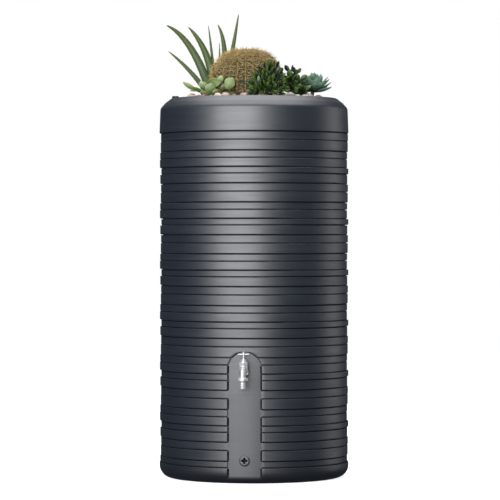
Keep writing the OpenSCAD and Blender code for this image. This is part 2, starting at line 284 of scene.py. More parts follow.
class Finish:
    """A material built from nodes, with short calls for the nodes that the finishes share."""

    def __init__(self, name, color, roughness, metallic=0.0):
        self.material = bpy.data.materials.new(name)
        self.material.use_nodes = True
        self.tree = self.material.node_tree
        self.shader = self.tree.nodes["Principled BSDF"]
        self.set("Base Color", (*color, 1))
        self.set("Roughness", roughness)
        self.set("Metallic", metallic)
        self.where = self.add("ShaderNodeTexCoord").outputs["Object"]

    def add(self, kind, **settings):
        node = self.tree.nodes.new(kind)
        for key, value in settings.items():
            setattr(node, key, value)
        return node

    def set(self, socket, value):
        self.shader.inputs[socket].default_value = value

    def join(self, source, target):
        self.tree.links.new(source, target)

    def read(self, name):
        return self.add("ShaderNodeAttribute", attribute_name=name).outputs["Fac"]

    def stretched(self, x, y, z):
        node = self.add("ShaderNodeMapping")
        node.inputs["Scale"].default_value = (x, y, z)
        self.join(self.where, node.inputs["Vector"])
        return node.outputs["Vector"]

    def noise(self, scale, detail=3.0, rough=0.5, where=None):
        node = self.add("ShaderNodeTexNoise")
        node.inputs["Scale"].default_value = scale
        node.inputs["Detail"].default_value = detail
        node.inputs["Roughness"].default_value = rough
        self.join(self.where if where is None else where, node.inputs["Vector"])
        return node.outputs["Fac"]

    def cells(self, scale):
        node = self.add("ShaderNodeTexVoronoi", feature="F1")
        node.inputs["Scale"].default_value = scale
        self.join(self.where, node.inputs["Vector"])
        return node.outputs["Distance"]

    def spread(self, value, low, high, to_low, to_high):
        node = self.add("ShaderNodeMapRange")
        limits = {"From Min": low, "From Max": high, "To Min": to_low, "To Max": to_high}
        for socket, number in limits.items():
            node.inputs[socket].default_value = number
        self.join(value, node.inputs["Value"])
        return node.outputs["Result"]

    def math(self, kind, a, b):
        node = self.add("ShaderNodeMath", operation=kind)
        for socket, value in zip(node.inputs, (a, b)):
            if isinstance(value, (int, float)):
                socket.default_value = value
            else:
                self.join(value, socket)
        return node.outputs["Value"]

    def colours(self, value, *stops):
        node = self.add("ShaderNodeValToRGB")
        ramp = node.color_ramp
        while len(ramp.elements) < len(stops):
            ramp.elements.new(0.5)
        for element, (at, color) in zip(ramp.elements, stops):
            element.position = at
            element.color = (*color, 1)
        self.join(value, node.inputs["Fac"])
        return node.outputs["Color"]

    def mixed(self, amount, a, b):
        node = self.add("ShaderNodeMix", data_type="RGBA")
        self.join(amount, node.inputs["Factor"])
        for socket, value in ((node.inputs[MIX_A], a), (node.inputs[MIX_B], b)):
            if isinstance(value, tuple):
                socket.default_value = (*value, 1)
            else:
                self.join(value, socket)
        return node.outputs[MIX_RESULT]

    def base(self, color):
        self.join(color, self.shader.inputs["Base Color"])

    def rough(self, value):
        self.join(value, self.shader.inputs["Roughness"])

    def bump(self, *layers):
        """Bumps stacked in order; each layer is (height, strength, distance in metres)."""
        last = None
        for height, strength, distance in layers:
            node = self.add("ShaderNodeBump")
            node.inputs["Strength"].default_value = strength
            node.inputs["Distance"].default_value = distance
            self.join(height, node.inputs["Height"])
            if last is not None:
                self.join(last, node.inputs["Normal"])
            last = node.outputs["Normal"]
        self.join(last, self.shader.inputs["Normal"])


def moulded_plastic(name, color, roughness=0.46):
    """Satin moulded plastic: faint level streaks, a fine grain, a patchy painted highlight on the edges,
    painted shade in the grooves, and painted shade that darkens it towards the foot.

    The shell stores edge: up to 1 on the bands' edges, where the highlight is painted, -1 down in the
    grooves, where the shade is painted, and 0 elsewhere."""
    f = Finish(name, color, roughness)
    streaks = f.noise(4, 4, 0.6, f.stretched(1, 1, 34))
    cloud = f.noise(7, 3)
    grain = f.noise(900, 2)
    # pale is the colour of the painted highlight on the bands' edges
    pale = tuple(c * 1.5 + 0.012 for c in color)
    tone = f.colours(f.math("ADD", f.math("MULTIPLY", streaks, 0.7), f.math("MULTIPLY", cloud, 0.3)),
                     (0.3, tuple(c * 0.88 for c in color)), (0.7, tuple(c * 1.12 for c in color)))
    # painted highlight: the colour turns pale in patches on the bands' edges
    patchy_edge_sheen = f.math("MULTIPLY", f.read("edge"), f.spread(f.noise(60, 4), 0.45, 0.75, 0.0, 0.8))
    height = f.add("ShaderNodeSeparateXYZ")
    f.join(f.where, height.inputs["Vector"])
    # painted shade: the colour darkens towards the floor, over twice the foot's rounding
    clear_of_foot_shade = f.spread(height.outputs["Z"], 0.0, FOOT_ROUND * 2 * MM, 0.0, 1.0)
    # sunk is 1 down in the grooves and in the panel's gap, where shade is painted
    sunk = f.spread(f.read("edge"), -0.9, -0.1, 1.0, 0.0)
    # dark is the painted shade colour of the grooves and the foot
    dark = tuple(c * 0.2 for c in color)
    f.base(f.mixed(sunk, f.mixed(clear_of_foot_shade, dark, f.mixed(patchy_edge_sheen, tone, pale)), dark))
    f.rough(f.spread(f.math("ADD", streaks, f.math("MULTIPLY", cloud, 0.6)), 0.5, 1.1,
                     roughness - 0.05, roughness + 0.07))
    f.bump((streaks, 0.10, 0.0008), (grain, 0.10, 0.0002))
    # the gloss is cut in the grooves as well, as part of the painted shade
    f.join(f.spread(sunk, 0.0, 1.0, 1.0, 0.15), f.shader.inputs["Specular IOR Level"])
    f.set("IOR", 1.6)
    return f.material


def plated_metal(name):
    """Nickel plate over a casting: soft waviness, water marks and fine rubbing."""
    color = (0.78, 0.76, 0.76)
    roughness = 0.32
    f = Finish(name, color, roughness, 0.6)
    spots = f.noise(140, 5, 0.6)
    f.base(f.colours(spots, (0.35, tuple(c * 0.86 for c in color)), (0.65, color)))
    f.rough(f.spread(spots, 0.35, 0.7, roughness - 0.04, roughness + 0.14))
    f.bump((f.noise(90, 2), 0.10, 0.0006), (f.noise(1500, 2), 0.05, 0.0001))
    return f.material


def shade_dark_brass(name):
    """Brass darkened as painted shade round the tap's seat, with fine level tool marks and patchy tone."""
    f = Finish(name, (0.10, 0.08, 0.05), 0.45, 1.0)
    brass_patches = f.noise(200, 4)
    f.base(f.colours(brass_patches, (0.3, (0.05, 0.04, 0.03)), (0.7, (0.16, 0.12, 0.06))))
    f.rough(f.spread(brass_patches, 0.3, 0.7, 0.4, 0.6))
    f.bump((f.noise(30, 2, 0.5, f.stretched(1, 1, 120)), 0.2, 0.0002))
    return f.material


def black_rubber(name, color=(0.018, 0.018, 0.019), roughness=0.55):
    """Black rubber or plain black plastic with a dusty bloom."""
    f = Finish(name, color, roughness)
    bloom = f.noise(160, 5)
    f.base(f.colours(bloom, (0.35, color), (0.75, tuple(c * 2.2 + 0.002 for c in color))))
    f.rough(f.spread(bloom, 0.3, 0.7, roughness - 0.1, roughness + 0.15))
    f.bump((f.noise(1200, 2), 0.15, 0.0002))
    return f.material


def fleece(name):
    """Grey needled fleece with tangled fibres."""
    f = Finish(name, (0.42, 0.41, 0.38), 0.95)
    fibres = f.noise(500, 6, 0.8)
    f.base(f.colours(fibres, (0.3, (0.30, 0.29, 0.27)), (0.7, (0.55, 0.54, 0.50))))
    f.bump((fibres, 0.8, 0.001))
    return f.material


def compost(name):
    """Dark crumbly compost with paler bits of bark."""
    f = Finish(name, (0.03, 0.02, 0.013), 0.95)
    crumbs = f.cells(260)
    bits = f.noise(120, 6, 0.7)
    f.base(f.mixed(f.spread(bits, 0.55, 0.7, 0, 1), (0.022, 0.014, 0.009), (0.085, 0.055, 0.032)))
    f.bump((crumbs, 0.9, 0.002), (bits, 0.6, 0.002))
    return f.material


def pebble_stone(name):
    """Worn quartz and marble pebbles, from pink to white, one tone to a stone, with veins and pits."""
    f = Finish(name, (0.7, 0.6, 0.57), 0.5)
    tone = f.read("tone")
    stone = f.colours(tone, (0.0, (0.26, 0.12, 0.11)), (0.3, (0.36, 0.22, 0.20)),
                      (0.55, (0.46, 0.38, 0.33)), (0.8, (0.56, 0.52, 0.48)), (1.0, (0.22, 0.15, 0.14)))
    veins = f.spread(f.noise(55, 6, 0.7), 0.52, 0.62, 0, 0.7)
    f.base(f.mixed(veins, stone, (0.50, 0.43, 0.40)))
    f.rough(f.spread(f.noise(300, 4), 0.3, 0.7, 0.38, 0.7))
    f.bump((f.noise(220, 5), 0.35, 0.0008))
    return f.material


def succulent_leaf(name, deep, mid, pale, edge, roughness=0.42, speckle=0.0):
    """Waxy leaf: darker towards the base, paler towards the tip, its own tone, edge colour and bloom.

    The piece stores along (0 base, 1 tip), rim (1 at the margin) and tone (one number a leaf)."""
    f = Finish(name, mid, roughness)
    cloud = f.noise(60, 4, 0.6)
    along = f.math("ADD", f.math("MULTIPLY", f.read("along"), 0.75), f.math("MULTIPLY", cloud, 0.5))
    along = f.math("ADD", along, f.math("MULTIPLY", f.read("tone"), 0.3))
    body = f.colours(along, (0.15, deep), (0.6, mid), (1.1 / 1.2, pale))
    margin = f.spread(f.read("rim"), 0.72, 0.97, 0, 1)
    body = f.mixed(margin, body, edge)
    if speckle > 0:
        dots = f.spread(f.noise(420, 2, 0.4), 0.64, 0.70, 0, speckle)
        body = f.mixed(dots, body, pale)
    f.base(body)
    f.rough(f.spread(cloud, 0.3, 0.7, roughness - 0.08, roughness + 0.12))
    f.bump((f.noise(300, 4), 0.25, 0.0005), (f.noise(1600, 2), 0.15, 0.0001))
    f.set("Subsurface Weight", 0.12)
    f.set("Subsurface Scale", 0.004)
    return f.material


def cactus_skin(name):
    """Green ribbed flesh, yellower on the crests of the ribs and woolly at the crown."""
    f = Finish(name, (0.12, 0.19, 0.06), 0.55)
    cloud = f.noise(120, 4)
    flesh = f.colours(f.math("ADD", f.math("MULTIPLY", f.read("crest"), 0.7), f.math("MULTIPLY", cloud, 0.3)),
                      (0.1, (0.008, 0.013, 0.004)), (0.6, (0.030, 0.040, 0.012)), (0.9, (0.10, 0.085, 0.03)))
    f.base(f.mixed(f.read("wool"), flesh, (0.40, 0.32, 0.16)))
    f.bump((cloud, 0.4, 0.001), (f.noise(900, 3), 0.3, 0.0004))
    return f.material


def golden_spine(name):
    """Golden spines: straw at the tip, amber at the root."""
    f = Finish(name, (0.62, 0.44, 0.16), 0.42)
    tone = f.math("ADD", f.math("MULTIPLY", f.read("along"), 0.55), f.math("MULTIPLY", f.read("tone"), 0.45))
    f.base(f.colours(tone, (0.08, (0.045, 0.022, 0.006)), (0.38, (0.24, 0.15, 0.045)),
                     (0.8, (0.62, 0.48, 0.20))))
    f.rough(f.spread(f.noise(400, 3), 0.3, 0.7, 0.35, 0.55))
    f.bump((f.noise(1500, 2), 0.2, 0.0001))
    return f.material


def plant_stem(name, dark, light):
    """A fleshy or woody stem with rings and small scars."""
    f = Finish(name, light, 0.7)
    rings = f.noise(40, 5, 0.6, f.stretched(1, 1, 4))
    f.base(f.colours(rings, (0.35, dark), (0.65, light)))
    f.bump((rings, 0.5, 0.001))
    return f.material


def studio_floor(name):
    """Pale matt floor with a barely visible unevenness."""
    f = Finish(name, (0.86, 0.86, 0.86), 0.75)
    f.base(f.colours(f.noise(1.5, 4), (0.3, (0.85, 0.85, 0.85)), (0.7, (0.88, 0.88, 0.88))))
    f.set("Emission Color", (1, 1, 1, 1))
    f.set("Emission Strength", 0.8)
    return f.material


TANK_GREY = (0.0070, 0.0112, 0.0180)
PLASTIC = moulded_plastic("moulded_grey_plastic", TANK_GREY)
PLASTIC_SMALL = moulded_plastic("bush_grey_plastic", TANK_GREY, 0.42)
PLATE = plated_metal("nickel_plate")
# brass darkened as painted shade round the tap's seat
SHADE_DARK_BRASS = shade_dark_brass("shade_dark_brass")
RUBBER = black_rubber("black_rubber")
BLACK = black_rubber("black_plastic", (0.004, 0.004, 0.0045), 0.5)
# matt black laid in the drain plug's key recess as painted shade
RECESS_SHADE = black_rubber("recess_shade_black", (0.003, 0.003, 0.003), 0.85)
FLEECE = fleece("grey_fleece")
COMPOST = compost("dark_compost")
STONE = pebble_stone("pebble_stone")
ALOE = succulent_leaf("aloe_leaf", (0.055, 0.095, 0.062), (0.062, 0.100, 0.026), (0.052, 0.085, 0.005),
                      (0.085, 0.13, 0.025), 0.45, 0.35)
JADE = succulent_leaf("jade_leaf", (0.004, 0.010, 0.003), (0.012, 0.030, 0.006), (0.070, 0.135, 0.016),
                      (0.018, 0.042, 0.009), 0.34)
ECHEVERIA = succulent_leaf("echeveria_leaf", (0.017, 0.040, 0.024), (0.072, 0.138, 0.088), (0.18, 0.30, 0.21),
                           (0.12, 0.21, 0.145), 0.6)
PEPEROMIA = succulent_leaf("peperomia_leaf", (0.030, 0.055, 0.014), (0.085, 0.135, 0.035), (0.20, 0.28, 0.11),
                           (0.32, 0.36, 0.13), 0.42)
CACTUS = cactus_skin("cactus_skin")
SPINE = golden_spine("golden_spine")
STEM = plant_stem("green_stem", (0.04, 0.07, 0.012), (0.14, 0.19, 0.035))
BARK = plant_stem("woody_stem", (0.012, 0.012, 0.006), (0.04, 0.035, 0.02))


# ---------------------------------------------------------------- barrel shell

def disc_radius(around, shift):
    """Distance from the barrel's axis to the edge of a disc of radius BAND_R shifted off the axis.

    around is measured from the front (-Y) towards +X."""
    x, y = np.sin(around), -np.cos(around)
    along = shift[0] * x + shift[1] * y
    across = shift[0] * y - shift[1] * x
    return along + np.sqrt(BAND_R ** 2 - across ** 2)


def smooth_step(t):
    t = np.clip(t, 0, 1)
    return t * t * (3 - 2 * t)


def panel_width(z):
    """Half-width of the arched panel at a height; above the arch it eases back so that columns fan out."""
    inside = max(PANEL_TOP - PANEL_HALF, 0)
    if z <= inside:
        return PANEL_HALF
    if z < PANEL_TOP:
        return max(math.sqrt(PANEL_HALF ** 2 - (z - inside) ** 2), ARCH_CROWN)
    return ARCH_CROWN + (PANEL_HALF - ARCH_CROWN) * float(smooth_step((z - PANEL_TOP) / CROWN_FADE))


# Columns of the shell's skin on each side of the front one: inside the panel, close to either side of
# its edge (distances from the edge), beside it, and on round to the back.
INNER_COLUMNS = 5
EDGE_COLUMNS = np.array([-4.2, -3.0, -0.7, 0.5, 1.5, 3.0])
OUTER_COLUMNS = 13
FAR_COLUMNS = 72
FRONT_REACH = 170.0


def column_places(z):
    """Distances round the barrel of every column at a height, from the front, in millimetres.

    Columns follow the panel's edge as it narrows into its arch, and spread evenly elsewhere."""
    w = panel_width(z)
    inner_edge = max(w + EDGE_COLUMNS[0], 0.2)
    inner = np.linspace(0, inner_edge, INNER_COLUMNS + 2)[1:-1]
    edge = np.maximum(w + EDGE_COLUMNS, inner_edge)
    outer = np.linspace(edge[-1], FRONT_REACH, OUTER_COLUMNS + 1)[1:]
    far = np.linspace(FRONT_REACH, math.pi * BAND_R, FAR_COLUMNS + 2)[1:-1]
    half = np.concatenate([inner, edge, outer, far])
    return np.concatenate([[0.0], half, [math.pi * BAND_R], -half[::-1]])


HALF_COUNT = INNER_COLUMNS + len(EDGE_COLUMNS) + OUTER_COLUMNS + FAR_COLUMNS
PANEL_COLUMNS = 1 + INNER_COLUMNS + int((EDGE_COLUMNS < 0).sum())
IN_PANEL = np.zeros(2 * HALF_COUNT + 2)
IN_PANEL[:PANEL_COLUMNS] = 1
IN_PANEL[1 - PANEL_COLUMNS:] = 1
# The gap columns are cut deeper and carry painted shade; the bands' end columns beside them are rounded and
# carry a painted highlight.
PANEL_GAP = np.zeros_like(IN_PANEL)
PANEL_GAP[[PANEL_COLUMNS - 1, 1 - PANEL_COLUMNS]] = 1
BAND_EDGE = np.zeros_like(IN_PANEL)
BAND_EDGE[[PANEL_COLUMNS, -PANEL_COLUMNS]] = 1.0
BAND_EDGE[[PANEL_COLUMNS + 1, -PANEL_COLUMNS - 1]] = 0.35


def band_rows():
    """Rows of the ribbed wall from the foot upwards: (height, shift, drop, edge).

    shift says what wall_radius() works from, drop is taken off that radius, and edge weights the
    painted highlight on a rounded edge and is -1 in a groove, where shade is painted.
    Each disc has a rounded edge above and below, and neighbouring discs meet in a fine groove."""
    bands = []
    for k in range(BAND_REPEATS + 1):
        top = RIBS_TOP - k * REPEAT_H
        for i in range(len(BAND_H) if k < BAND_REPEATS else LAST_BANDS):
            z1 = top - sum(BAND_H[:i])
            last = k == BAND_REPEATS and i == LAST_BANDS - 1
            bands.append((FOOT_H if last else z1 - BAND_H[i], z1, BAND_SHIFT[i]))
    bands.reverse()
    bands.insert(0, (None, FOOT_H, None))
    bands.append((RIBS_TOP, RIBS_TOP + CAP_PLAIN_H, None))
    angles = np.radians([0, 35, 90])
    rows = []
    for n, (z0, z1, shift) in enumerate(bands):
        if z0 is not None:
            under = bands[n - 1][2]
            for a in angles:
                z = z0 + GROOVE_HALF + UNDERCUT_H * (1 - math.cos(a))
                rows.append((z, (shift, under, 1 - math.sin(a)), EDGE_ROUND * (1 - math.sin(a)),
                             0.6 * math.cos(a) * (a > 0)))
            rows.append((z + FLAT_FROM, shift, 0.0, 0.0))
        if n < len(bands) - 1:
            rows.append((z1 - GROOVE_HALF - EDGE_ROUND - FLAT_FROM, shift, 0.0, 0.0))
            for a in angles[::-1]:
                z = z1 - GROOVE_HALF - EDGE_ROUND * (1 - math.cos(a))
                rows.append((z, shift, EDGE_ROUND * (1 - math.sin(a)), math.cos(a) * (a > 0)))
            # a groove's rows carry edge -1, for the painted shade in it
            for z in (z1 - GROOVE_HALF + GROOVE_LIP, z1 + GROOVE_HALF - GROOVE_LIP):
                rows.append((z, (shift, bands[n + 1][2]), EDGE_ROUND, -1.0))
    return rows


def overhang(above, below):
    """How far an upper radius stands out over a lower one: 0 where it steps back, easing to 1."""
    return smooth_step((above - below + OVERHANG_FROM) / OVERHANG_FADE)


def wall_radius(around, shift):
    """Radius of the wall at one row: a plain band, a shifted disc, or the groove between two.

    A groove lies below the lower of its two bands, and is cut deeper where the upper one overhangs.
    There the upper band's lower edge is undercut too, by the share given as the third number."""
    if shift is None:
        return np.full_like(around, PLAIN_R)
    if len(shift) == 3:
        own, under = wall_radius(around, shift[0]), wall_radius(around, shift[1])
        return own - UNDERCUT * shift[2] * overhang(own, under)
    if isinstance(shift[0], (tuple, type(None))):
        below, above = wall_radius(around, shift[0]), wall_radius(around, shift[1])
        deeper = (GROOVE_DEEP - GROOVE_SHALLOW) * overhang(above, below)
        return np.minimum(below, above) - GROOVE_SHALLOW - deeper
    return disc_radius(around, shift)


ARCH_ANGLES = np.radians(np.arange(8, 89, 8))
ARCH_TOP_ROWS = (-0.5, 0.5, 1.5)
ROWS_APART = 0.3


def with_arch_rows(wall):
    """The wall's rows and more where the panel's arch bends, each made from the rows below and above it."""
    arch = [PANEL_TOP - PANEL_HALF * (1 - math.sin(a)) for a in ARCH_ANGLES]
    arch += [PANEL_TOP + dz for dz in ARCH_TOP_ROWS]
    heights = np.array([row[0] for row in wall])
    keep = {round(h, 3): row for h, row in zip(heights, wall)}
    added = []
    for z in arch:
        if np.abs(heights - z).min() > ROWS_APART:
            below = max(h for h in heights if h < z)
            above = min(h for h in heights if h > z)
            low, high = keep[round(below, 3)], keep[round(above, 3)]
            t = (z - below) / (above - below)
            shift = high[1] if isinstance(low[1], tuple) and isinstance(low[1][0], tuple) else low[1]
            added.append((z, shift, low[2] * (1 - t) + high[2] * t, 0.0))
    return sorted(wall + added, key=lambda row: row[0])


def cut_panel(plain, radius, edge, in_foot):
    """Cuts the panel into one row: a flush face, a gap along its edge, and rounded ends on the bands.
    It also gives the row's edge values: a painted highlight on the bands' ends, painted shade in the gap.

    The gap, its painted shade and the painted highlight fade out where the band beside the panel is
    hardly proud of it."""
    proud = np.clip((plain - PANEL_R) / 3.0 - 0.75, 0, 1)
    rounded = np.minimum(radius, np.maximum(plain - EDGE_ROUND * BAND_EDGE, PANEL_R))
    radius = np.where(BAND_EDGE > 0, rounded, radius)
    face = PANEL_R - PANEL_GAP * PANEL_GAP_DEEP * proud
    radius = np.where(IN_PANEL > 0, np.minimum(face, radius if in_foot else PANEL_R), radius)
    # worn is the painted highlight on the bands' ends beside the panel, and the row's own edge values
    # elsewhere
    worn = np.where(BAND_EDGE > 0, BAND_EDGE * 0.8 * proud, edge)
    # inside the panel the gap gets -1, for painted shade
    return radius, np.where(IN_PANEL > 0, -PANEL_GAP * proud, worn)


def shell_grid():
    """The whole skin of the shell, outside and inside, as one grid from the middle of the underside,
    up the ribbed wall, over the shoulder and rim, and down the inside to the middle of the floor.

    A row is (height, radius) where it is a plain circle, and as band_rows() says on the ribbed wall."""
    rows = [(0.0, r) for r in (90, 180, PLAIN_R - FOOT_ROUND)]
    for a in np.radians(np.arange(10, 91, 10)):
        rows.append((FOOT_ROUND * (1 - math.cos(a)), PLAIN_R - FOOT_ROUND * (1 - math.sin(a))))
    rows += with_arch_rows(band_rows())
    outside_rows = len(rows)
    cone_z = RIBS_TOP + CAP_PLAIN_H
    shoulder_z = BARREL_H - SHOULDER_H
    deck_z = BARREL_H - DECK_T
    outline = filleted([
        (PLAIN_R, cone_z, 0), (BAND_R, shoulder_z, 18), (RIM_R + 20, BARREL_H - 15.0, 22),
        (RIM_R, BARREL_H, 6), (LEDGE_R, BARREL_H, 1.2), (LEDGE_R, BARREL_H - LEDGE_DEEP, 1),
        (MOUTH_R, BARREL_H - LEDGE_DEEP, 1.5), (MOUTH_R, deck_z, 1.5),
        (CAVITY_R - 30, deck_z, 4), (CAVITY_R, deck_z - 30, 10),
        (CAVITY_R, FLOOR_T + 26, 12), (CAVITY_R - 26, FLOOR_T, 12), (90, FLOOR_T, 0)], 5)
    rows += [(z, float(r)) for r, z in outline[1:]]
    grid, edges = [], []
    for n, row in enumerate(rows):
        z = row[0]
        around = column_places(z) / BAND_R
        circle = len(row) == 2
        plain = np.full_like(around, row[1]) if circle else wall_radius(around, row[1])
        radius = plain if circle else plain - row[2]
        edge = np.full_like(around, 0.0 if circle else row[3])
        outside = n < outside_rows
        if outside and z < PANEL_TOP:
            radius, edge = cut_panel(plain, radius, edge, circle)
        if outside and FOOT_H < z < BARREL_H - SHOULDER_H:
            radius = np.maximum(radius, CAVITY_R + THIN_WALL)
        ring = [radius * np.sin(around), -radius * np.cos(around), np.full_like(around, z)]
        grid.append(np.stack(ring, -1))
        edges.append(edge)
    return np.array(grid), np.array(edges)


BOSS_R = 22
BOSS_DEEP = 20
BOSS_INSET = 4.2


def boss_ring(z, bore):
    """A thick ring on the inside of the wall round a threaded hole, turned about the hole's axis."""
    outline = filleted([(bore, 0, 0), (BOSS_R, 0, 1), (BOSS_R, BOSS_DEEP, 1), (bore, BOSS_DEEP, 0)], 3)
    return turned(outline, (0, -PANEL_R + BOSS_INSET, z), (0, 1, 0), 48, ring=True)


def drill(piece, *tools):
    """Cuts round holes through a piece and leaves the cut mesh on it."""
    for tool in tools:
        cut = piece.modifiers.new("drill", "BOOLEAN")
        cut.operation = "DIFFERENCE"
        cut.solver = "EXACT"
        cut.object = tool
    graph = bpy.context.evaluated_depsgraph_get()
    cut_mesh = bpy.data.meshes.new_from_object(piece.evaluated_get(graph))
    piece.modifiers.clear()
    piece.data = cut_mesh
    cut_mesh.set_sharp_from_angle(angle=math.radians(57))
    for tool in tools:
        bpy.data.objects.remove(tool)


def rod(radius, start, end):
    """A closed round rod between two points, used to drill with."""
    start, end = np.array(start, float), np.array(end, float)
    length = np.linalg.norm(end - start)
    outline = np.array([(radius, 0.0), (radius, length)])
    return make_mesh("drill_rod", *turned(outline, start, end - start, 64))


INLET = middle("tap_insert")
DRAIN = middle("drain_seal")
FILLER = middle("filler_seal")
INLET_HOLE_R, INLET_BORE_R = 16.2, 16.0
DRAIN_HOLE_R, DRAIN_BORE_R = 14.2, 14.0
FILLER_HOLE_R = 6.0


def wall_rod(radius, z):
    """A rod right through the panel's wall at a height."""
    return rod(radius, (0, -PANEL_R + 12, z), (0, -PANEL_R - 12, z))


def build_shell():
    """The shell with its three holes, and the thick rings behind two of them."""
    grid, edges = shell_grid()
    points, faces = closed_grid(grid)
    shell = make_mesh("barrel_shell", points, faces)
    # edge carries the painted highlight on the bands' edges and the painted shade in the grooves and the
    # panel's gap
    attribute(shell, "edge", np.concatenate([edges.ravel(), [0, 0]]))
    x, y = FILLER[:2]
    drill(shell, wall_rod(INLET_HOLE_R, INLET[2]), wall_rod(DRAIN_HOLE_R, DRAIN[2]),
          rod(FILLER_HOLE_R, (x, y, BARREL_H - 20), (x, y, BARREL_H + 5)))
    place(shell, "tank", PLASTIC, "tank_plastic", "tank_shell")
    rings = [boss_ring(INLET[2], INLET_BORE_R), boss_ring(DRAIN[2], DRAIN_BORE_R)]
    bosses = make_mesh("wall_bosses", *many(rings))
    place(bosses, "tank", PLASTIC, "tank_plastic", "tank_shell")


build_shell()


# ---------------------------------------------------------------- tap, drain and filler

# the tap's axes and the limits of its nodes, which its visible pieces keep to
VALVE = middle("gland_nut")
SPOUT = middle("hose_tail")
BODY_LOW = box_mm("tap_body")[0]
BONNET_LOW, BONNET_HIGH = box_mm("tap_bonnet")
GLAND_LOW, GLAND_HIGH = box_mm("gland_nut")
SPINDLE_LOW = box_mm("tap_spindle")[0]
HANDLE_LOW, HANDLE_HIGH = box_mm("tap_handle")
SCREW_HIGH = box_mm("handle_screw")[1]
NUT_LOW, NUT_HIGH = box_mm("union_nut")
TAIL_LOW = box_mm("hose_tail")[0]
SPOUT_Z = INLET[2] + 10
SPOUT_BEND = 9
OUTWARDS = (0, -1, 0)
HEX = math.pi / 3


def six_sided(half_flats):
    """A shape for turned(): the profile's radius, cut by the flats of a hexagon."""
    def shape(angle, radius, height):
        to_flat = (angle + HEX / 2) % HEX - HEX / 2
        return np.minimum(radius, half_flats / np.cos(to_flat))
    return shape


def knurled(count, depth, low, high):
    """A shape for turned(): fine upright ridges between two heights."""
    def shape(angle, radius, height):
        inside = smooth_step((height - low) / 1.2) * smooth_step((high - height) / 1.2)
        return radius - depth * inside * (0.5 + 0.5 * np.cos(count * angle))
    return shape


def melted(name, parts, voxel, smoothing):
    """One skin over closed parts that run into each other, with the joints blended as in a casting."""
    piece = make_mesh(name, *many(parts))
    remesh = piece.modifiers.new("remesh", "REMESH")
    remesh.mode = "VOXEL"
    remesh.voxel_size = voxel * MM
    remesh.use_smooth_shade = True
    smooth = piece.modifiers.new("smooth", "SMOOTH")
    smooth.factor = 0.5
    smooth.iterations = smoothing
    graph = bpy.context.evaluated_depsgraph_get()
    skin = bpy.data.meshes.new_from_object(piece.evaluated_get(graph))
    piece.modifiers.clear()
    piece.data = skin
    skin.polygons.foreach_set("use_smooth", np.ones(len(skin.polygons), bool))
    return piece


def softened(node, width):
    """A copy of a frame node with its triangles merged, its flat faces made whole and its edges rounded."""
    mesh = NODES[node].data.copy()
    work = bmesh.new()
    work.from_mesh(mesh)
    bmesh.ops.remove_doubles(work, verts=work.verts, dist=0.00002)
    bmesh.ops.dissolve_limit(work, angle_limit=math.radians(1.5), verts=work.verts, edges=work.edges)
    sharp = [e for e in work.edges if len(e.link_faces) == 2 and e.calc_face_angle() > math.radians(35)]
    bmesh.ops.bevel(work, geom=sharp, offset=width * MM, segments=3, profile=0.5, affect="EDGES",
                    clamp_overlap=True)
    bmesh.ops.triangulate(work, faces=[f for f in work.faces if len(f.verts) > 4])
    work.to_mesh(mesh)
    work.free()
    piece = bpy.data.objects.new(node + "_soft", mesh)
    bpy.context.scene.collection.objects.link(piece)
    mesh.shade_smooth()
    mesh.set_sharp_from_angle(angle=math.radians(32))
    return piece


def plated(name, body, node, parts):
    """A nickel-plated piece of the tap, from its points and faces."""
    place(make_mesh(name, *parts), body, PLATE, "nickel_plate", node)


def build_tap_body():
    """The casting of the tap, its outlet thread drawn as level ridges, its hexagon collar and its shank."""
    x, y = VALVE[:2]
    nose_y = SPOUT[1]
    foot_z = INLET[2] - 13
    neck_z = BONNET_LOW[2] + 5
    chamber = filleted([(0, foot_z, 0), (7, foot_z, 4), (9.4, foot_z + 8, 6), (13.4, foot_z + 21, 8),
                        (13.6, neck_z, 0), (0, neck_z, 0)], 5)
    neck = np.array([(9.4, 0.0), (9.0, 10.0), (9.6, 24.0)])
    round_in = [(x, nose_y + SPOUT_BEND * (1 - math.sin(a)), SPOUT_Z - SPOUT_BEND * (1 - math.cos(a)))
                for a in np.radians(np.arange(0, 91, 10))]
    path = [(x, y, SPOUT_Z)] + round_in + [(x, nose_y, BODY_LOW[2] + 6)]
    parts = [turned(chamber, (x, y, 0)),
             turned(neck, (x, -PANEL_R - 1, INLET[2]), OUTWARDS),
             tube(path, 8.5, 28)]
    body = melted("tap_casting", parts, 0.7, 5)
    place(body, "tank", PLATE, "nickel_plate", "tap_body")
    z0, z1 = BODY_LOW[2], BODY_LOW[2] + 7
    ridges = [(13.1 - 0.5 * (k % 2), z0 + 0.6 + 0.75 * k, 0) for k in range(8)]
    outline = filleted([(5, z0, 0), (12.4, z0, 0.4)] + ridges
                       + [(12.8, z1, 0.5), (8, z1, 1), (5, z1 - 1, 0)], 2)
    plated("tap_outlet_thread", "tank", "tap_body", turned(outline, (x, nose_y, 0), ring=True))
    collar = filleted([(0, 0, 0), (13.2, 0, 0.4), (14.0, 1.0, 0.6), (14.0, 6.0, 0.6), (13.2, 7.0, 0.4),
                       (0, 7.0, 0)], 3)
    plated("tap_collar", "tank", "tap_body",
           turned(collar, (x, -PANEL_R - 0.6, INLET[2]), OUTWARDS, 96, six_sided(12.4)))
    shank = np.array([(6.0, 0.0), (10.3, 0.0), (10.3, 22.0), (6.0, 22.0)])
    plated("tap_shank", "tank", "tap_body",
           turned(shank, (x, -PANEL_R + 22, INLET[2]), OUTWARDS, ring=True))


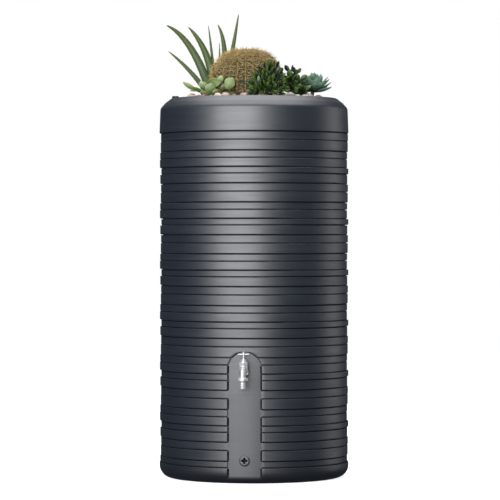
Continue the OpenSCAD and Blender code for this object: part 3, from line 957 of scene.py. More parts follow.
def build_tap_head():
    """The bonnet, the gland nut, and above them the spindle with its cross-bar handle and screw."""
    x, y = VALVE[:2]
    z0, z1 = BONNET_LOW[2] + 5, BONNET_HIGH[2]
    bonnet = filleted([(5.6, z0 - 5, 0), (10.9, z0 - 5, 0.4), (10.9, z0, 0), (14.2, z0, 0.5),
                       (15, z0 + 1.4, 0.8), (15, z1 - 3.6, 0.8), (13.6, z1 - 2.2, 0.6), (12.4, z1 - 2, 0.5),
                       (12.2, z1, 0.6), (8.8, z1, 0.3), (8.6, z1 - 1, 0.3), (5.6, z1 - 1, 0)], 3)
    plated("tap_bonnet_hex", "tank", "tap_bonnet",
           turned(bonnet, (x, y, 0), segments=96, shape=six_sided(13.0), ring=True))
    g0, g1 = GLAND_LOW[2] + 4, GLAND_HIGH[2]
    gland = filleted([(4.1, g0 - 3, 0), (6.9, g0 - 3, 0.3), (6.9, g0 - 0.4, 0), (8.9, g0, 0.5),
                      (8.9, g0 + 3.4, 1.6), (6.4, g1 - 1.2, 1.6), (5.2, g1, 0.8), (4.1, g1, 0)], 4)
    flutes = knurled(12, 0.5, g0 + 0.5, g0 + 3.2)
    plated("gland_dome", "tank", "gland_nut",
           turned(gland, (x, y, 0), segments=72, shape=flutes, ring=True))
    s0 = SPINDLE_LOW[2]
    shoulder, bead, top = s0 + 11, g1 + 6.5, HANDLE_LOW[2] + 0.5
    spindle = filleted([(0, s0, 0), (5.4, s0, 0.4), (5.4, shoulder, 0.5), (4, shoulder, 0.3),
                        (4, g1 - 0.6, 0.5), (2.3, g1 + 0.4, 0.5), (2.3, bead - 1.8, 0.6), (3.5, bead, 1.0),
                        (2.3, bead + 1.8, 0.6), (2.3, top, 0), (0, top, 0)], 4)
    plated("spindle_rod", "handle", "tap_spindle", turned(spindle, (x, y, 0)))
    bar_z = (HANDLE_LOW[2] + HANDLE_HIGH[2]) / 2 + 0.5
    half = (HANDLE_HIGH[0] - HANDLE_LOW[0]) / 2
    bar = filleted([(0, -half, 0), (1.6, -half, 1.0), (2.3, -half + 2.2, 1.2), (1.8, -half + 5, 3),
                    (2.0, -5, 6), (2.0, 5, 6), (1.8, half - 5, 3), (2.3, half - 2.2, 1.2), (1.6, half, 1.0),
                    (0, half, 0)], 5)
    hub = filleted([(0, -5, 0), (2.8, -5, 0.6), (3.5, -3, 1.0), (3.5, 2.4, 1.2), (2.8, 4, 0.6), (0, 4, 0)], 4)
    handle = melted("cross_handle", [turned(bar, (x, y, bar_z), (1, 0, 0), 40),
                                     turned(hub, (x, y, bar_z), segments=40)], 0.35, 3)
    place(handle, "handle", PLATE, "nickel_plate", "tap_handle")
    d0, d1 = bar_z + 3.8, SCREW_HIGH[2]
    dome = filleted([(0, d0, 0), (2.7, d0, 0.3), (2.7, d0 + 1.6, 0.9), (1.6, d1, 1.0), (0, d1, 0)], 5)
    plated("screw_dome", "handle", "handle_screw", turned(dome, (x, y, 0), segments=40))


def build_hose_end():
    """The knurled union nut, and the barbed tail that hangs from it by its flange."""
    x, y = SPOUT[:2]
    n0, n1 = NUT_LOW[2], NUT_HIGH[2]
    nut = filleted([(9.9, n0, 0.3), (14.6, n0, 0.8), (16.3, n0 + 1.4, 0.8), (16.4, n1 - 1.6, 0.8),
                    (15.2, n1, 0.7), (13.3, n1, 0.3), (13.3, n0 + 1.6, 0), (9.9, n0 + 1.6, 0)], 3)
    plated("knurled_union_nut", "coupling_nut", "union_nut",
           turned(nut, (x, y, 0), segments=160, shape=knurled(32, 0.7, n0 + 1.4, n1 - 1.4), ring=True))
    t0 = TAIL_LOW[2]
    barbs = []
    for k in range(3):
        z = t0 + 2.5 + 6.2 * k
        barbs += [(9.75, z + 1.6, 0.5), (8.9, z + 1.9, 0.3), (9.0, z + 6.2, 0)]
    outline = filleted([(7.0, t0, 0.4), (8.6, t0, 0.6)] + barbs
                       + [(9.7, n0 - 1.0, 0.4), (9.5, n0 - 0.4, 0), (9.5, n0 + 1.7, 0), (12.8, n0 + 1.7, 0.2),
                          (12.8, n0 + 3.1, 0.2), (7.0, n0 + 3.1, 0)], 3)
    plated("barbed_hose_tail", "hose_fitting", "hose_tail",
           turned(outline, (x, y, 0), segments=72, ring=True))


RECESS_DEPTH = 10.0
PLUG_FACE_R = 12.6


def paint_recess_shade(plug, face_y, z):
    """Paints the faces down in the drain plug's key recess matt black, as painted shade."""
    plug.data.materials.append(RECESS_SHADE)
    centres = np.zeros(len(plug.data.polygons) * 3)
    plug.data.polygons.foreach_get("center", centres)
    centres = centres.reshape(-1, 3) / MM
    deep = (centres[:, 1] > face_y + 1.2) & (centres[:, 1] < face_y + RECESS_DEPTH + 0.5)
    inside = deep & (np.hypot(centres[:, 0], centres[:, 2] - z) < PLUG_FACE_R)
    plug.data.polygons.foreach_set("material_index", inside.astype(int))


def build_drain_and_filler():
    """The flanged bush of the drain and its plug with the plus-shaped recess, and the knob on the rim."""
    z = DRAIN[2]
    flange = filleted([(11.3, 0, 0), (17, 0, 0), (17, 1.4, 1.2), (15.6, 3.0, 0.8), (11.3, 3.0, 0.3)], 4)
    sleeve = np.array([(11.3, -23.4), (14.0, -23.4), (14.0, 0.2), (11.3, 0.2)])
    seat = (0, box_mm("drain_bush")[0][1] + 3, z)
    bush = make_mesh("drain_bush_rim", *many([turned(flange, seat, OUTWARDS, 72, ring=True),
                                              turned(sleeve, seat, OUTWARDS, 72, ring=True)]))
    place(bush, "tank", PLASTIC_SMALL, "bush_plastic", "drain_bush")
    plug = softened("drain_plug", 0.7)
    place(plug, "drain_screw", PLASTIC_SMALL, "bush_plastic", "drain_plug")
    # the plug's key recess is painted black as shade
    paint_recess_shade(plug, box_mm("drain_plug")[0][1], z)
    x, y = middle("filler_plug")[:2]
    top = box_mm("filler_plug")[1][2] - BARREL_H
    knob = filleted([(0, -20, 0), (5.2, -20, 0.6), (5.9, -18.5, 0.5), (5.9, 2, 0), (10.4, 2, 0.5),
                     (11, 3, 0.5), (11, top - 2.4, 1.4), (8.6, top, 1.6), (7.4, top - 0.2, 0.5),
                     (6.8, top - 1.2, 0.5), (0, top - 1.2, 0)], 4)
    grips = knurled(20, 0.8, 2.6, top - 1.4)
    piece = make_mesh("filler_knob", *turned(knob, (x, y, BARREL_H), segments=120, shape=grips))
    place(piece, "filler_screw", BLACK, "black_plastic", "filler_plug")


def finish_frame_nodes():
    """Gives the frame's own nodes that stay in view their finishes."""
    # the tap insert gets the brass darkened as painted shade
    for finish, names in ((PLASTIC, ["planter_bowl"]), (SHADE_DARK_BRASS, ["tap_insert", "valve_jumper"]),
                          (FLEECE, ["drainage_mat"]),
                          (RUBBER, ["tap_wall_seal", "bonnet_seal", "gland_packing", "valve_washer",
                                    "hose_washer", "drain_seal", "filler_seal"])):
        for name in names:
            NODES[name].data.materials.clear()
            NODES[name].data.materials.append(finish)


build_tap_body()
build_tap_head()
build_hose_end()
build_drain_and_filler()
finish_frame_nodes()


# ---------------------------------------------------------------- planting

def blade(path, side, half, thick, cup, sides):
    """Points and faces of one leaf, with how far along and how near the margin each point is.

    path is the midline, side the way across, half and thick the half-width and half-thickness along
    it. cup lifts the margins towards the upper face by that part of the half-width."""
    path = np.asarray(path, float)
    rows = len(path)
    half, thick, cup = (np.broadcast_to(np.asarray(v, float), (rows,)) for v in (half, thick, cup))
    way = np.gradient(path, axis=0)
    way /= np.linalg.norm(way, axis=1)[:, None] + 1e-9
    side = np.array(side, float) - (way @ np.array(side, float))[:, None] * way
    side /= np.linalg.norm(side, axis=1)[:, None] + 1e-9
    face = np.cross(way, side)
    a = np.arange(sides) / sides * TURN
    across = half[:, None] * np.cos(a)
    up = thick[:, None] * np.sin(a) + (cup * half)[:, None] * np.cos(a) ** 2
    grid = path[:, None] + across[..., None] * side[:, None] + up[..., None] * face[:, None]
    points, faces = closed_grid(grid)
    t = np.linspace(0, 1, rows)[:, None] * np.ones(sides)
    rim = np.abs(np.cos(a))[None, :] * np.ones((rows, 1))
    rim = np.maximum(rim, np.clip((t - 0.9) * 8, 0, 1))
    return points, faces, np.append(t.ravel(), [0, 1]), np.append(rim.ravel(), [0, 1])


def leafy(name, leaves, tones, finish, slot, node):
    """One piece from many leaves, with the attributes that a leaf's finish reads."""
    points, faces = many([leaf[:2] for leaf in leaves])
    piece = make_mesh(name, planted(points), faces)
    attribute(piece, "along", np.concatenate([leaf[2] for leaf in leaves]))
    attribute(piece, "rim", np.concatenate([leaf[3] for leaf in leaves]))
    attribute(piece, "tone", one_each(leaves, tones))
    place(piece, "planter", finish, slot, node)


def one_each(parts, values):
    """One value for each part, repeated for every point of it."""
    return np.concatenate([np.full(len(part[0]), value) for part, value in zip(parts, values)])


def stalks(name, parts, finish, slot, node):
    """One piece from the tubes of a plant's stems or stalks."""
    points, faces = many(parts)
    place(make_mesh(name, planted(points), faces), "planter", finish, slot, node)


# base, bend and tip of each aloe leaf's midline, and its width
ALOE_LEAVES = (
    ((-128, 108, 1190), (-190, 92, 1402), (-282, 74, 1440), 31),
    ((-122, 108, 1190), (-134, 102, 1362), (-212, 94, 1436), 32),
    ((-120, 113, 1190), (-131, 114, 1320), (-147, 114, 1444), 14),
    ((-104, 118, 1190), (-78, 116, 1380), (-117, 108, 1445), 24),
    ((-112, 112, 1190), (-110, 112, 1290), (-111, 112, 1388), 12),
    ((-106, 122, 1190), (-72, 120, 1330), (-49, 114, 1480), 22),
    ((-128, 102, 1190), (-190, 84, 1290), (-276, 72, 1357), 20),
    ((-106, 122, 1190), (-84, 160, 1260), (-42, 182, 1302), 16),
    ((-114, 124, 1190), (-118, 165, 1268), (-94, 198, 1306), 14),
)


ALOE_TONES = (0.0, 0.4, 0.2, 0.4, 0.5, 0.3, 0.0, 0.4, 0.5)
TOOTH_TONE = 0.8
TOOTH_APART = 11
ALOE_SHORTER = 0.995


def aloe_tooth(root, out, along, size):
    """A four-sided spike on a leaf's margin that leans towards the leaf's tip."""
    spike = [root, root + out * size * 0.7 + along * size * 0.3, root + out * size + along * size]
    return blade(spike, along, [size * 0.5, size * 0.3, 0.05], [size * 0.35, size * 0.2, 0.05], 0, 4)


def build_aloe():
    """Fleshy tapering leaves, hollowed on top, with small pale teeth along both margins."""
    leaves, teeth = [], []
    rows = 40
    t = np.linspace(0, 1, rows)
    for n, (base, turn, tip, width) in enumerate(ALOE_LEAVES):
        path = base + (bend(base, turn, tip, rows) - base) * ALOE_SHORTER
        taper = np.sqrt(np.clip(1 - t ** 1.9, 0, 1)) * (0.62 + 0.38 * (1 - t)) + 0.004
        half = width / 2 * taper
        way = path[-1] - path[0]
        side = np.array([way[2], 0.25 * width * (-1) ** n, -way[0]])
        leaves.append(blade(path, side, half, half * 0.34 + 0.3, 0.28, 16))
        unit = side / np.linalg.norm(side)
        count = int(np.linalg.norm(way) / TOOTH_APART)
        for k in range(1, count):
            i = int(k / count * (rows - 4)) + 1
            along = path[i + 1] - path[i]
            along /= np.linalg.norm(along)
            for s in (-1, 1):
                root = path[i] + unit * s * half[i] * 0.97
                teeth.append(aloe_tooth(root, unit * s, along, 1.0 + 1.2 * half[i] / 15))
    tones = list(ALOE_TONES) + [TOOTH_TONE] * len(teeth)
    leafy("aloe_leaves", leaves + teeth, tones, ALOE, "aloe_leaf", "aloe")


CACTUS_LOW, CACTUS_HIGH = box_mm("cactus")
CACTUS_R = (CACTUS_HIGH[0] - CACTUS_LOW[0]) / 2
CACTUS_CENTRE = np.array([*middle("cactus")[:2], CACTUS_HIGH[2] - CACTUS_R])
CACTUS_SQUARE = 2.5
CACTUS_RIBS = 25
CACTUS_TURN = math.radians(-86)
CREST_H = 9.0
SPINE_REACH = 12.0
SPINE_FAN = 10
SPINE_ROWS = np.array([0, 0.35, 0.7, 1.0])
SPINE_THICK = np.array([0.95, 0.80, 0.52, 0.08])


def cactus_skin_at(up, around):
    """A point on the cactus: a superellipse dome turned about its axis, with sharp-crested ribs.

    up is the angle above the dome's widest level, around the turn; ribs fade out at the crown."""
    base_r = CACTUS_R - SPINE_REACH
    power = 2 / CACTUS_SQUARE
    level = base_r * np.sign(np.cos(up)) * np.abs(np.cos(up)) ** power
    height = base_r * np.sign(np.sin(up)) * np.abs(np.sin(up)) ** power
    crest = 1 - np.abs(np.sin(CACTUS_RIBS * (around - CACTUS_TURN) / 2)) ** 0.75
    fade = smooth_step(level / (base_r * 0.5))
    radius = level - CREST_H * (1 - crest) * fade
    height = height - 5.0 * np.exp(-(level / 22) ** 2) + 0 * around
    return np.stack([radius * np.cos(around), radius * np.sin(around), height], -1), crest


def areole_axes(turn, here, ahead):
    """For areoles down one crest: the ways out of the skin, down the rib, and level round the dome."""
    down = here - ahead
    down /= np.linalg.norm(down, axis=1)[:, None]
    level = np.array([-math.sin(turn), math.cos(turn), 0.0]) * np.ones_like(here)
    out = np.cross(down, level)
    out *= np.sign((out * here).sum(1))[:, None]
    return out, down, level


def build_cactus():
    """The ribbed dome, a strip of felt along the crest of each rib, and the spines."""
    up = np.radians(np.linspace(-24, 89.5, 64))[:, None]
    around = (np.arange(CACTUS_RIBS * 8) / (CACTUS_RIBS * 8) * TURN)[None, :]
    grid, crest = cactus_skin_at(up, around)
    dome = make_mesh("cactus_dome", *closed_grid(grid + CACTUS_CENTRE))
    attribute(dome, "crest", np.append(crest * np.ones_like(up), [0, 1]))
    wool = np.clip((np.degrees(up) - 74) / 12, 0, 1) * np.ones_like(around)
    attribute(dome, "wool", np.append(wool, [0, 1]))
    place(dome, "planter", CACTUS, "cactus_skin", "cactus")

    areoles, felt = [], []
    for rib in range(CACTUS_RIBS):
        turn = CACTUS_TURN + rib * TURN / CACTUS_RIBS
        line, _ = cactus_skin_at(np.radians(np.linspace(-16, 80, 40)), np.full(40, turn))
        felt.append(tube(line + CACTUS_CENTRE, 1.3, 6))
        ups = np.radians(np.concatenate([np.linspace(-14, 62, 15), np.linspace(66, 86, 4)[::1 + rib % 2]]))
        here, _ = cactus_skin_at(ups, np.full_like(ups, turn))
        ahead, _ = cactus_skin_at(ups + 0.01, np.full_like(ups, turn))
        areoles.append((here, *areole_axes(turn, here, ahead)))
    points, faces = many(felt)
    piece = make_mesh("cactus_areoles", points, faces)
    attribute(piece, "along", np.full(len(points), 0.8))
    attribute(piece, "tone", np.full(len(points), 0.4))
    place(piece, "planter", SPINE, "cactus_skin", "cactus")
    build_spines(*(np.repeat(np.vstack(v), SPINE_FAN, axis=0) for v in zip(*areoles)))


def build_spines(roots, outs, downs, levels):
    """A fan of curved three-sided spines at every areole: one stands out, the rest lie round it.

    A spine's midline is its length times aim t + curl t squared, for t from root to tip."""
    rng = np.random.default_rng(7)
    count = len(roots)
    around = np.arange(SPINE_FAN) / SPINE_FAN * TURN
    spread = np.tile(around, count // SPINE_FAN) + rng.uniform(-0.3, 0.3, count)
    lean = rng.uniform(0.85, 1.40, count)
    lean[::SPINE_FAN] = rng.uniform(0.0, 0.5, count // SPINE_FAN)
    length = (rng.uniform(17, 30, count) * (1.1 - 0.3 * np.cos(spread) ** 2))[:, None, None]
    aside = downs * np.cos(spread)[:, None] + levels * np.sin(spread)[:, None]
    aim = outs * np.cos(lean)[:, None] + aside * np.sin(lean)[:, None]
    curl = -outs * rng.uniform(0.0, 0.25, count)[:, None] + downs * rng.uniform(-0.1, 0.3, count)[:, None]
    t = SPINE_ROWS[:, None]
    line = roots[:, None] + length * (aim[:, None] * t + curl[:, None] * t ** 2)
    side = np.cross(aim, outs + 0.3 * levels)
    side /= np.linalg.norm(side, axis=1)[:, None] + 1e-9
    other = np.cross(aim, side)
    corner = (np.arange(3) / 3 * TURN)[:, None]
    ring = side[:, None, None] * np.cos(corner) + other[:, None, None] * np.sin(corner)
    grid = line[:, :, None] + ring * SPINE_THICK[:, None, None]
    first = np.arange(count)[:, None, None] * 12
    groups = [first + quads for quads in (grid_faces(4, 3), np.array([(9, 10, 11)]), np.array([(2, 1, 0)]))]
    faces = [face for group in groups for face in group.reshape(-1, group.shape[-1]).tolist()]
    spines = make_mesh("cactus_spines", grid.reshape(-1, 3) + CACTUS_CENTRE, faces)
    attribute(spines, "along", np.broadcast_to(SPINE_ROWS[None, :, None], (count, 4, 3)))
    attribute(spines, "tone", np.repeat(rng.uniform(0, 1, count), 12))
    place(spines, "planter", SPINE, "cactus_skin", "cactus")


def oval_leaf(base, aim, side, length, width, thick, cup, curl, tip=1.0, rows=9, sides=8):
    """A spoon-shaped leaf from its base along aim: narrow foot, widest past the middle, rounded end.

    tip below 1 makes the end more pointed."""
    aim = np.array(aim, float) / np.linalg.norm(aim)
    side = np.array(side, float)
    face = np.cross(aim, side)
    face /= np.linalg.norm(face) + 1e-9
    t = np.linspace(0, 1, rows)
    path = np.array(base, float) + length * (t[:, None] * aim + curl * (t ** 2)[:, None] * face)
    spoon = np.sin(np.pi * t ** 1.35) ** 0.75 * (1 - (1 - tip) * t ** 3)
    shape = spoon + 0.16 * (1 - t) + 0.01
    return blade(path, side, width / 2 * shape, thick / 2 * (shape * 0.8 + 0.15), cup, sides)


def scatter_shoots(rng, root, tips):
    """Midlines of shoots that leave a root and rise to their tips in easy bends."""
    shoots = []
    for tip in tips:
        tip = np.array(tip, float)
        knee = np.array(root, float) * 0.45 + tip * 0.55
        knee[2] = root[2] + (tip[2] - root[2]) * 0.35
        knee[:2] += rng.uniform(-5, 5, 2)
        shoots.append(bend(root, knee, tip, 14))
    return shoots


def shoot_leaves(rng, shoot, pairs, length, width, start):
    """Leaves in opposite pairs, each pair square to the last and each blade twisted its own way."""
    leaves = []
    for k in range(pairs):
        at = start + (1 - start) * k / (pairs - 1)
        i = min(int(at * (len(shoot) - 1)), len(shoot) - 2)
        way = shoot[i + 1] - shoot[i]
        way /= np.linalg.norm(way)
        u, v, _ = axes_of(way)
        turn = k * math.pi / 2 + rng.uniform(-0.3, 0.3)
        lift = 0.55 + 0.75 * at
        for s in (0, math.pi):
            out = u * math.cos(turn + s) + v * math.sin(turn + s)
            aim = out + way * lift
            size = rng.uniform(0.8, 1.1) * (1.0 - 0.25 * max(at - 0.75, 0) * 4)
            across = np.cross(aim, out)
            twist = rng.uniform(-1.1, 1.1)
            side = across * math.cos(twist) + np.cross(aim, across) * math.sin(twist)
            leaves.append(oval_leaf(shoot[i] + out * 1.0, aim, side, length * size, width * size, 3.4 * size,
                                    0.12, rng.uniform(0.05, 0.25)))
    return leaves


JADE_ROOT = (36, -146, SOIL_Z)
BRANCH_ROOT = (122, -110, SOIL_Z)
DOME_TIPS, SIDE_TIPS, LOW_TIPS = 22, 12, 8
# tips of the side branch's shoots, their heights above the soil
JADE_RIGHT = ((104, -112, 74), (112, -106, 96), (122, -110, 84), (134, -104, 90), (146, -110, 66),
              (140, -122, 46), (112, -124, 52), (156, -100, 48), (126, -126, 30), (150, -126, 28))


def build_jade():
    """A bush of branching fleshy shoots with spoon-shaped leaves, and a side branch to the right.

    The shoots of the bush end on a dome that is higher towards its right."""
    rng = np.random.default_rng(11)
    tips = []
    for k in range(DOME_TIPS):
        turn = k * GOLDEN_ANGLE
        reach = 52 * math.sqrt((k + 0.5) / DOME_TIPS)
        x = reach * math.cos(turn)
        tips.append((44 + x, -150 + 0.62 * reach * math.sin(turn),
                     SOIL_Z + 116 - 0.022 * reach ** 2 + 0.36 * x + rng.uniform(-12, 6)))
    for turn in np.linspace(0, TURN, SIDE_TIPS, endpoint=False):
        tips.append((38 + 52 * math.cos(turn), -150 + 34 * math.sin(turn), SOIL_Z + rng.uniform(20, 52)))
    for x in np.linspace(-8, 96, LOW_TIPS):
        tips.append((x, -212 + rng.uniform(-6, 6), SOIL_Z + rng.uniform(14, 30)))
    shoots = scatter_shoots(rng, JADE_ROOT, tips)
    branch = scatter_shoots(rng, BRANCH_ROOT, [(x, y, SOIL_Z + z) for x, y, z in JADE_RIGHT])
    leaves = []
    for shoot in shoots:
        leaves += shoot_leaves(rng, shoot, 4, 35, 14.0, 0.42)
    for shoot in branch:
        leaves += shoot_leaves(rng, shoot, 3, 35, 19.0, 0.5)
    leafy("jade_leaves", leaves, rng.uniform(-2.0, 1.4, len(leaves)), JADE, "jade_leaf", "jade_plant")
    stems = [tube(s, np.linspace(3.0, 1.2, len(s)), 7) for s in shoots + branch]
    stalks("jade_stems", stems, BARK, "jade_leaf", "jade_plant")


ECHEVERIA_CENTRE = np.array([190, -34, SOIL_Z + 26.0])


def build_echeveria():
    """A rosette: leaves at the golden angle, long and spreading outside, short and upright inside."""
    rng = np.random.default_rng(5)
    leaves, count = [], 46
    for k in range(count):
        age = (k + 1) / count
        turn = k * GOLDEN_ANGLE + 0.6
        rise = math.radians(80 - 74 * age ** 0.9) + rng.uniform(-0.10, 0.10)
        out = np.array([math.cos(turn), math.sin(turn), 0])
        aim = out * math.cos(rise) + np.array([0, 0, 1]) * math.sin(rise)
        length = (36 + 32 * age ** 0.7) * rng.uniform(0.9, 1.05)
        base = ECHEVERIA_CENTRE + out * 4 * age + np.array([0, 0, 20 * (1 - age)])
        side = np.array([-math.sin(turn), math.cos(turn), 0])
        leaves.append(oval_leaf(base, aim, side, length, 20 + 14 * age, 3.8, 0.22, 0.22, 0.66, 13, 10))
    leafy("echeveria_leaves", leaves, rng.uniform(-0.6, 0.9, count), ECHEVERIA, "echeveria_leaf", "echeveria")
    line = bend((180, -30, SOIL_Z - 2), (182, -30, SOIL_Z + 16), ECHEVERIA_CENTRE + (0, 0, 16), 8)
    stalks("echeveria_stem", [tube(line, 6, 10)], STEM, "echeveria_leaf", "echeveria")


# foot of the stalk, middle of the leaf, the way it points, the way across it, length and width
PEPEROMIA_LEAVES = (
    ((-138, -122, 0), (-126, -128, 56), (1.0, -0.2, 0.15), (0.1, -0.5, 0.9), 48, 30),
    ((-128, -124, 0), (-77, -140, 50), (0.5, -0.1, 0.85), (0.8, 0.0, -0.45), 42, 34),
    ((-140, -130, 0), (-137, -152, 31), (0.25, -0.35, 0.9), (0.95, 0.1, -0.2), 38, 32),
    ((-150, -100, 0), (-202, -96, 40), (-0.9, -0.1, 0.42), (0.3, -0.45, 0.8), 54, 17),
    ((-150, -110, 0), (-172, -130, 24), (-0.95, -0.15, 0.3), (0.1, -0.75, 0.6), 50, 20),
    ((-128, -130, 0), (-90, -158, 22), (0.95, -0.2, 0.2), (0.1, -0.75, 0.6), 66, 14),
    ((-134, -120, 0), (-108, -118, 66), (0.35, 0.3, 0.85), (0.9, -0.3, -0.3), 34, 22),
    ((-146, -108, 0), (-160, -90, 52), (-0.4, 0.5, 0.75), (0.85, 0.3, 0.3), 38, 26),
    ((-140, -100, 0), (-128, -82, 48), (0.2, 0.75, 0.6), (0.9, -0.2, 0.1), 38, 26),
    ((-122, -118, 0), (-92, -104, 40), (0.75, 0.55, 0.4), (-0.5, 0.8, 0.1), 36, 26),
    ((-160, -96, 0), (-186, -66, 34), (-0.7, 0.6, 0.35), (0.6, 0.7, 0.1), 38, 24),
    ((-132, -134, 0), (-118, -160, 18), (0.3, -0.8, 0.4), (0.9, 0.3, 0.1), 32, 24),
    ((-150, -118, 0), (-158, -142, 14), (-0.4, -0.8, 0.4), (0.9, -0.4, 0.1), 34, 22),
)


PEPEROMIA_TONES = (0.9, 0.8, 0.0, 0.5, -0.8, 0.2, 0.6, 0.2, 0.1, 0.3, 0.0, 0.4, 0.2)


def build_peperomia():
    """Cupped oval leaves with pale margins on yellow-green stalks."""
    leaves, stems = [], []
    for foot, centre, aim, side, length, width in PEPEROMIA_LEAVES:
        aim = np.array(aim, float) / np.linalg.norm(aim)
        foot = np.array(foot, float) + (0, 0, SOIL_Z)
        base = np.array(centre, float) + (0, 0, SOIL_Z) - aim * length * 0.5
        leaves.append(oval_leaf(base, aim, side, length, width, 1.2, 0.30, 0.22, 0.80, 17, 14))
        knee = np.array([foot[0] * 0.6 + base[0] * 0.4, foot[1] * 0.6 + base[1] * 0.4, base[2]])
        stems.append(tube(bend(foot, knee, base + aim * 3, 10), np.linspace(2.2, 1.4, 10), 8))
    leafy("peperomia_leaves", leaves, PEPEROMIA_TONES, PEPEROMIA, "peperomia_leaf", "peperomia")
    stalks("peperomia_stalks", stems, STEM, "peperomia_leaf", "peperomia")


def stone(rng, centre, size, rows, cols):
    """A worn pebble: a ball squashed to three random half-lengths, with a few soft lumps."""
    up = np.linspace(-math.pi / 2 + 0.15, math.pi / 2 - 0.15, rows)[:, None]
    turn = (np.arange(cols) / cols * TURN)[None, :]
    grid = np.stack([np.cos(up) * np.cos(turn), np.cos(up) * np.sin(turn), np.sin(up) + 0 * turn], -1)
    lump = 1.0
    for _ in range(3):
        way = rng.normal(size=3)
        lump = lump + 0.10 * np.sin(2.2 * (grid @ way) + rng.uniform(0, 6))
    half = size * rng.uniform((0.85, 0.75, 0.6), (1.2, 1.0, 0.85))
    spin = rng.uniform(0, TURN)
    return closed_grid(spun(grid * lump[..., None] * half, spin) + centre)


SOIL_SIDES = 180
# height, wavelength and two phases of each wave that lifts the soil
SOIL_WAVES = ((1.2, 19, 0, 1), (0.8, 8, 2, 0), (0.5, 3.7, 1, 3))
PEBBLE_COUNT = 44
GRAVEL_COUNT = 420


def build_soil():
    """Crumbly soil: a disc lifted by a few waves that die away at its edge, and a wall down from there."""
    low, high = box_mm("soil")
    wide = (high[0] - low[0]) / 2
    rings = np.linspace(0.02, 1, 60)[:, None]
    turn = (np.arange(SOIL_SIDES) / SOIL_SIDES * TURN)[None, :]
    x, y = wide * rings * np.cos(turn), wide * rings * np.sin(turn)
    bumps = sum(h * np.sin(x / w + p) * np.cos(y / w * 1.3 + q) for h, w, p, q in SOIL_WAVES)
    top = np.stack([x, y, SOIL_Z - 1.5 + bumps * (1 - rings ** 6)], -1)
    edge, foot = wide - 3, np.full(SOIL_SIDES, SOIL_Z - 40)
    wall = np.stack([np.cos(turn[0]) * edge, np.sin(turn[0]) * edge, foot], -1)
    points, faces = closed_grid(np.concatenate([wall[None], top[::-1]]))
    place(make_mesh("soil_surface", points, faces), "planter", COMPOST, "soil", "soil")


def build_pebbles():
    """A ring of pebbles inside the rim, and gravel scattered at the golden angle over the soil."""
    rng = np.random.default_rng(3)
    stones, tones = [], []

    def lay(turn, reach, size, sunk, rows, cols):
        centre = np.array([math.cos(turn) * reach, math.sin(turn) * reach, SOIL_Z + size * sunk])
        stones.append(stone(rng, centre, size, rows, cols))
        tones.append(rng.uniform(0, 1))

    for k in range(PEBBLE_COUNT):
        turn = k * TURN / PEBBLE_COUNT + rng.uniform(-0.03, 0.03)
        lay(turn, 207 + rng.uniform(-4, 1), 14.5 + 2.4 * math.sin(k * 2.4), 0.45, 12, 18)
    for k in range(GRAVEL_COUNT):
        turn = k * GOLDEN_ANGLE + rng.uniform(-0.1, 0.1)
        lay(turn, 196 * math.sqrt((k + 0.5) / GRAVEL_COUNT), rng.uniform(3, 8), 0.3, 6, 9)
    points, faces = many(stones)
    piece = make_mesh("pebble_ring", planted(points), faces)
    attribute(piece, "tone", one_each(stones, tones))
    place(piece, "planter", STONE, "stone", "pebbles")


build_aloe()
build_cactus()
build_jade()
build_echeveria()
build_peperomia()
build_soil()
build_pebbles()


# ---------------------------------------------------------------- floor, light and camera

CAMERA_TURN = math.radians(5.7)
CAMERA_DISTANCE = 9.246
CAMERA_HEIGHT = 0.790
LENS = 209.5
SENSOR = 36
AIM_ASIDE = -0.0127
AIM_HEIGHT = 0.7196
LAMPS_AIM = (0, 0, 0.7)
FLOOR_HALF = 30.0 / MM
AMBIENT = (0.26, 0.275, 0.30)
GLOSS_ROOM = (0.045, 0.057, 0.082)
WHITE = (1, 1, 1)


def round_barrel(turn, distance, height):
    """A point at a turn from the front (-Y) towards +X, at a distance from the barrel's axis."""
    return (distance * math.sin(turn), -distance * math.cos(turn), height)


def aimed(thing, target):
    """Points a lamp or camera at a place."""
    thing.rotation_euler = (Vector(target) - thing.location).to_track_quat("-Z", "Y").to_euler()


def soft_box(name, turn, distance, height, width, tall, power):
    """A rectangular lamp that stands round the barrel and shines on the middle of it."""
    lamp = bpy.data.lights.new(name, "AREA")
    lamp.shape = "RECTANGLE"
    lamp.size = width
    lamp.size_y = tall
    lamp.energy = power
    thing = bpy.data.objects.new(name, lamp)
    bpy.context.scene.collection.objects.link(thing)
    thing.location = round_barrel(turn, distance, height)
    aimed(thing, LAMPS_AIM)


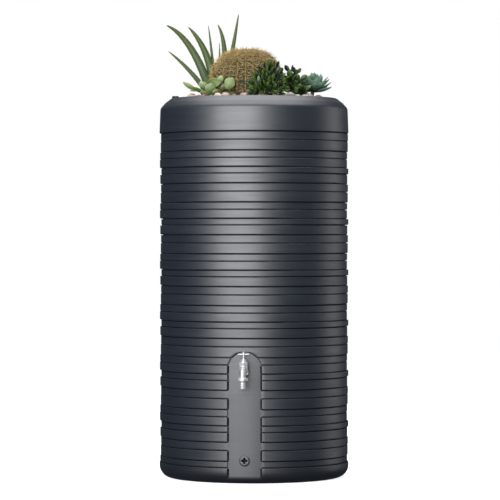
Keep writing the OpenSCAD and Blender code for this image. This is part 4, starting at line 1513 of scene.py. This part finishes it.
def build_studio():
    """The floor and lamps, in a room that is white to the camera and dim to gloss.

    The dim room and the floor that gloss doesn't see leave the highlights to the three boxes."""
    bpy.context.scene.view_settings.view_transform = "Standard"
    corners = [(x * FLOOR_HALF, y * FLOOR_HALF, 0) for x, y in ((-1, -1), (1, -1), (1, 1), (-1, 1))]
    floor = make_mesh("floor", corners, [(0, 1, 2, 3)], False)
    floor.data.materials.append(studio_floor("pale_floor"))
    floor.visible_glossy = False
    floor.visible_diffuse = False
    world = bpy.data.worlds.new("studio")
    bpy.context.scene.world = world
    world.use_nodes = True
    tree = world.node_tree
    path = tree.nodes.new("ShaderNodeLightPath")
    room = tree.nodes["Background"]
    room.inputs["Color"].default_value = (*AMBIENT, 1)
    last = room.outputs["Background"]
    for ray, color in (("Is Glossy Ray", GLOSS_ROOM), ("Is Camera Ray", WHITE)):
        seen = tree.nodes.new("ShaderNodeBackground")
        seen.inputs["Color"].default_value = (*color, 1)
        mix = tree.nodes.new("ShaderNodeMixShader")
        tree.links.new(path.outputs[ray], mix.inputs["Fac"])
        tree.links.new(last, mix.inputs[1])
        tree.links.new(seen.outputs["Background"], mix.inputs[2])
        last = mix.outputs["Shader"]
    tree.links.new(last, tree.nodes["World Output"].inputs["Surface"])
    soft_box("key_box", CAMERA_TURN - math.radians(18.7), 3.4, 1.4, 3.32, 2.9, 167)
    soft_box("top_box", CAMERA_TURN, -0.1, 3.4, 2.9, 2.7, 82)
    soft_box("side_box", CAMERA_TURN + math.radians(108), 3.2, 1.0, 1.1, 3.0, 17)


def build_camera():
    """A long lens a little above the barrel's middle, turned as the planting is."""
    lens = bpy.data.cameras.new("camera")
    lens.sensor_width = SENSOR
    lens.lens = LENS
    lens.clip_end = 100
    camera = bpy.data.objects.new("camera", lens)
    bpy.context.scene.collection.objects.link(camera)
    camera.location = round_barrel(CAMERA_TURN, CAMERA_DISTANCE, CAMERA_HEIGHT)
    aimed(camera, (AIM_ASIDE * math.cos(CAMERA_TURN), AIM_ASIDE * math.sin(CAMERA_TURN), AIM_HEIGHT))
    bpy.context.scene.camera = camera


build_studio()
build_camera()
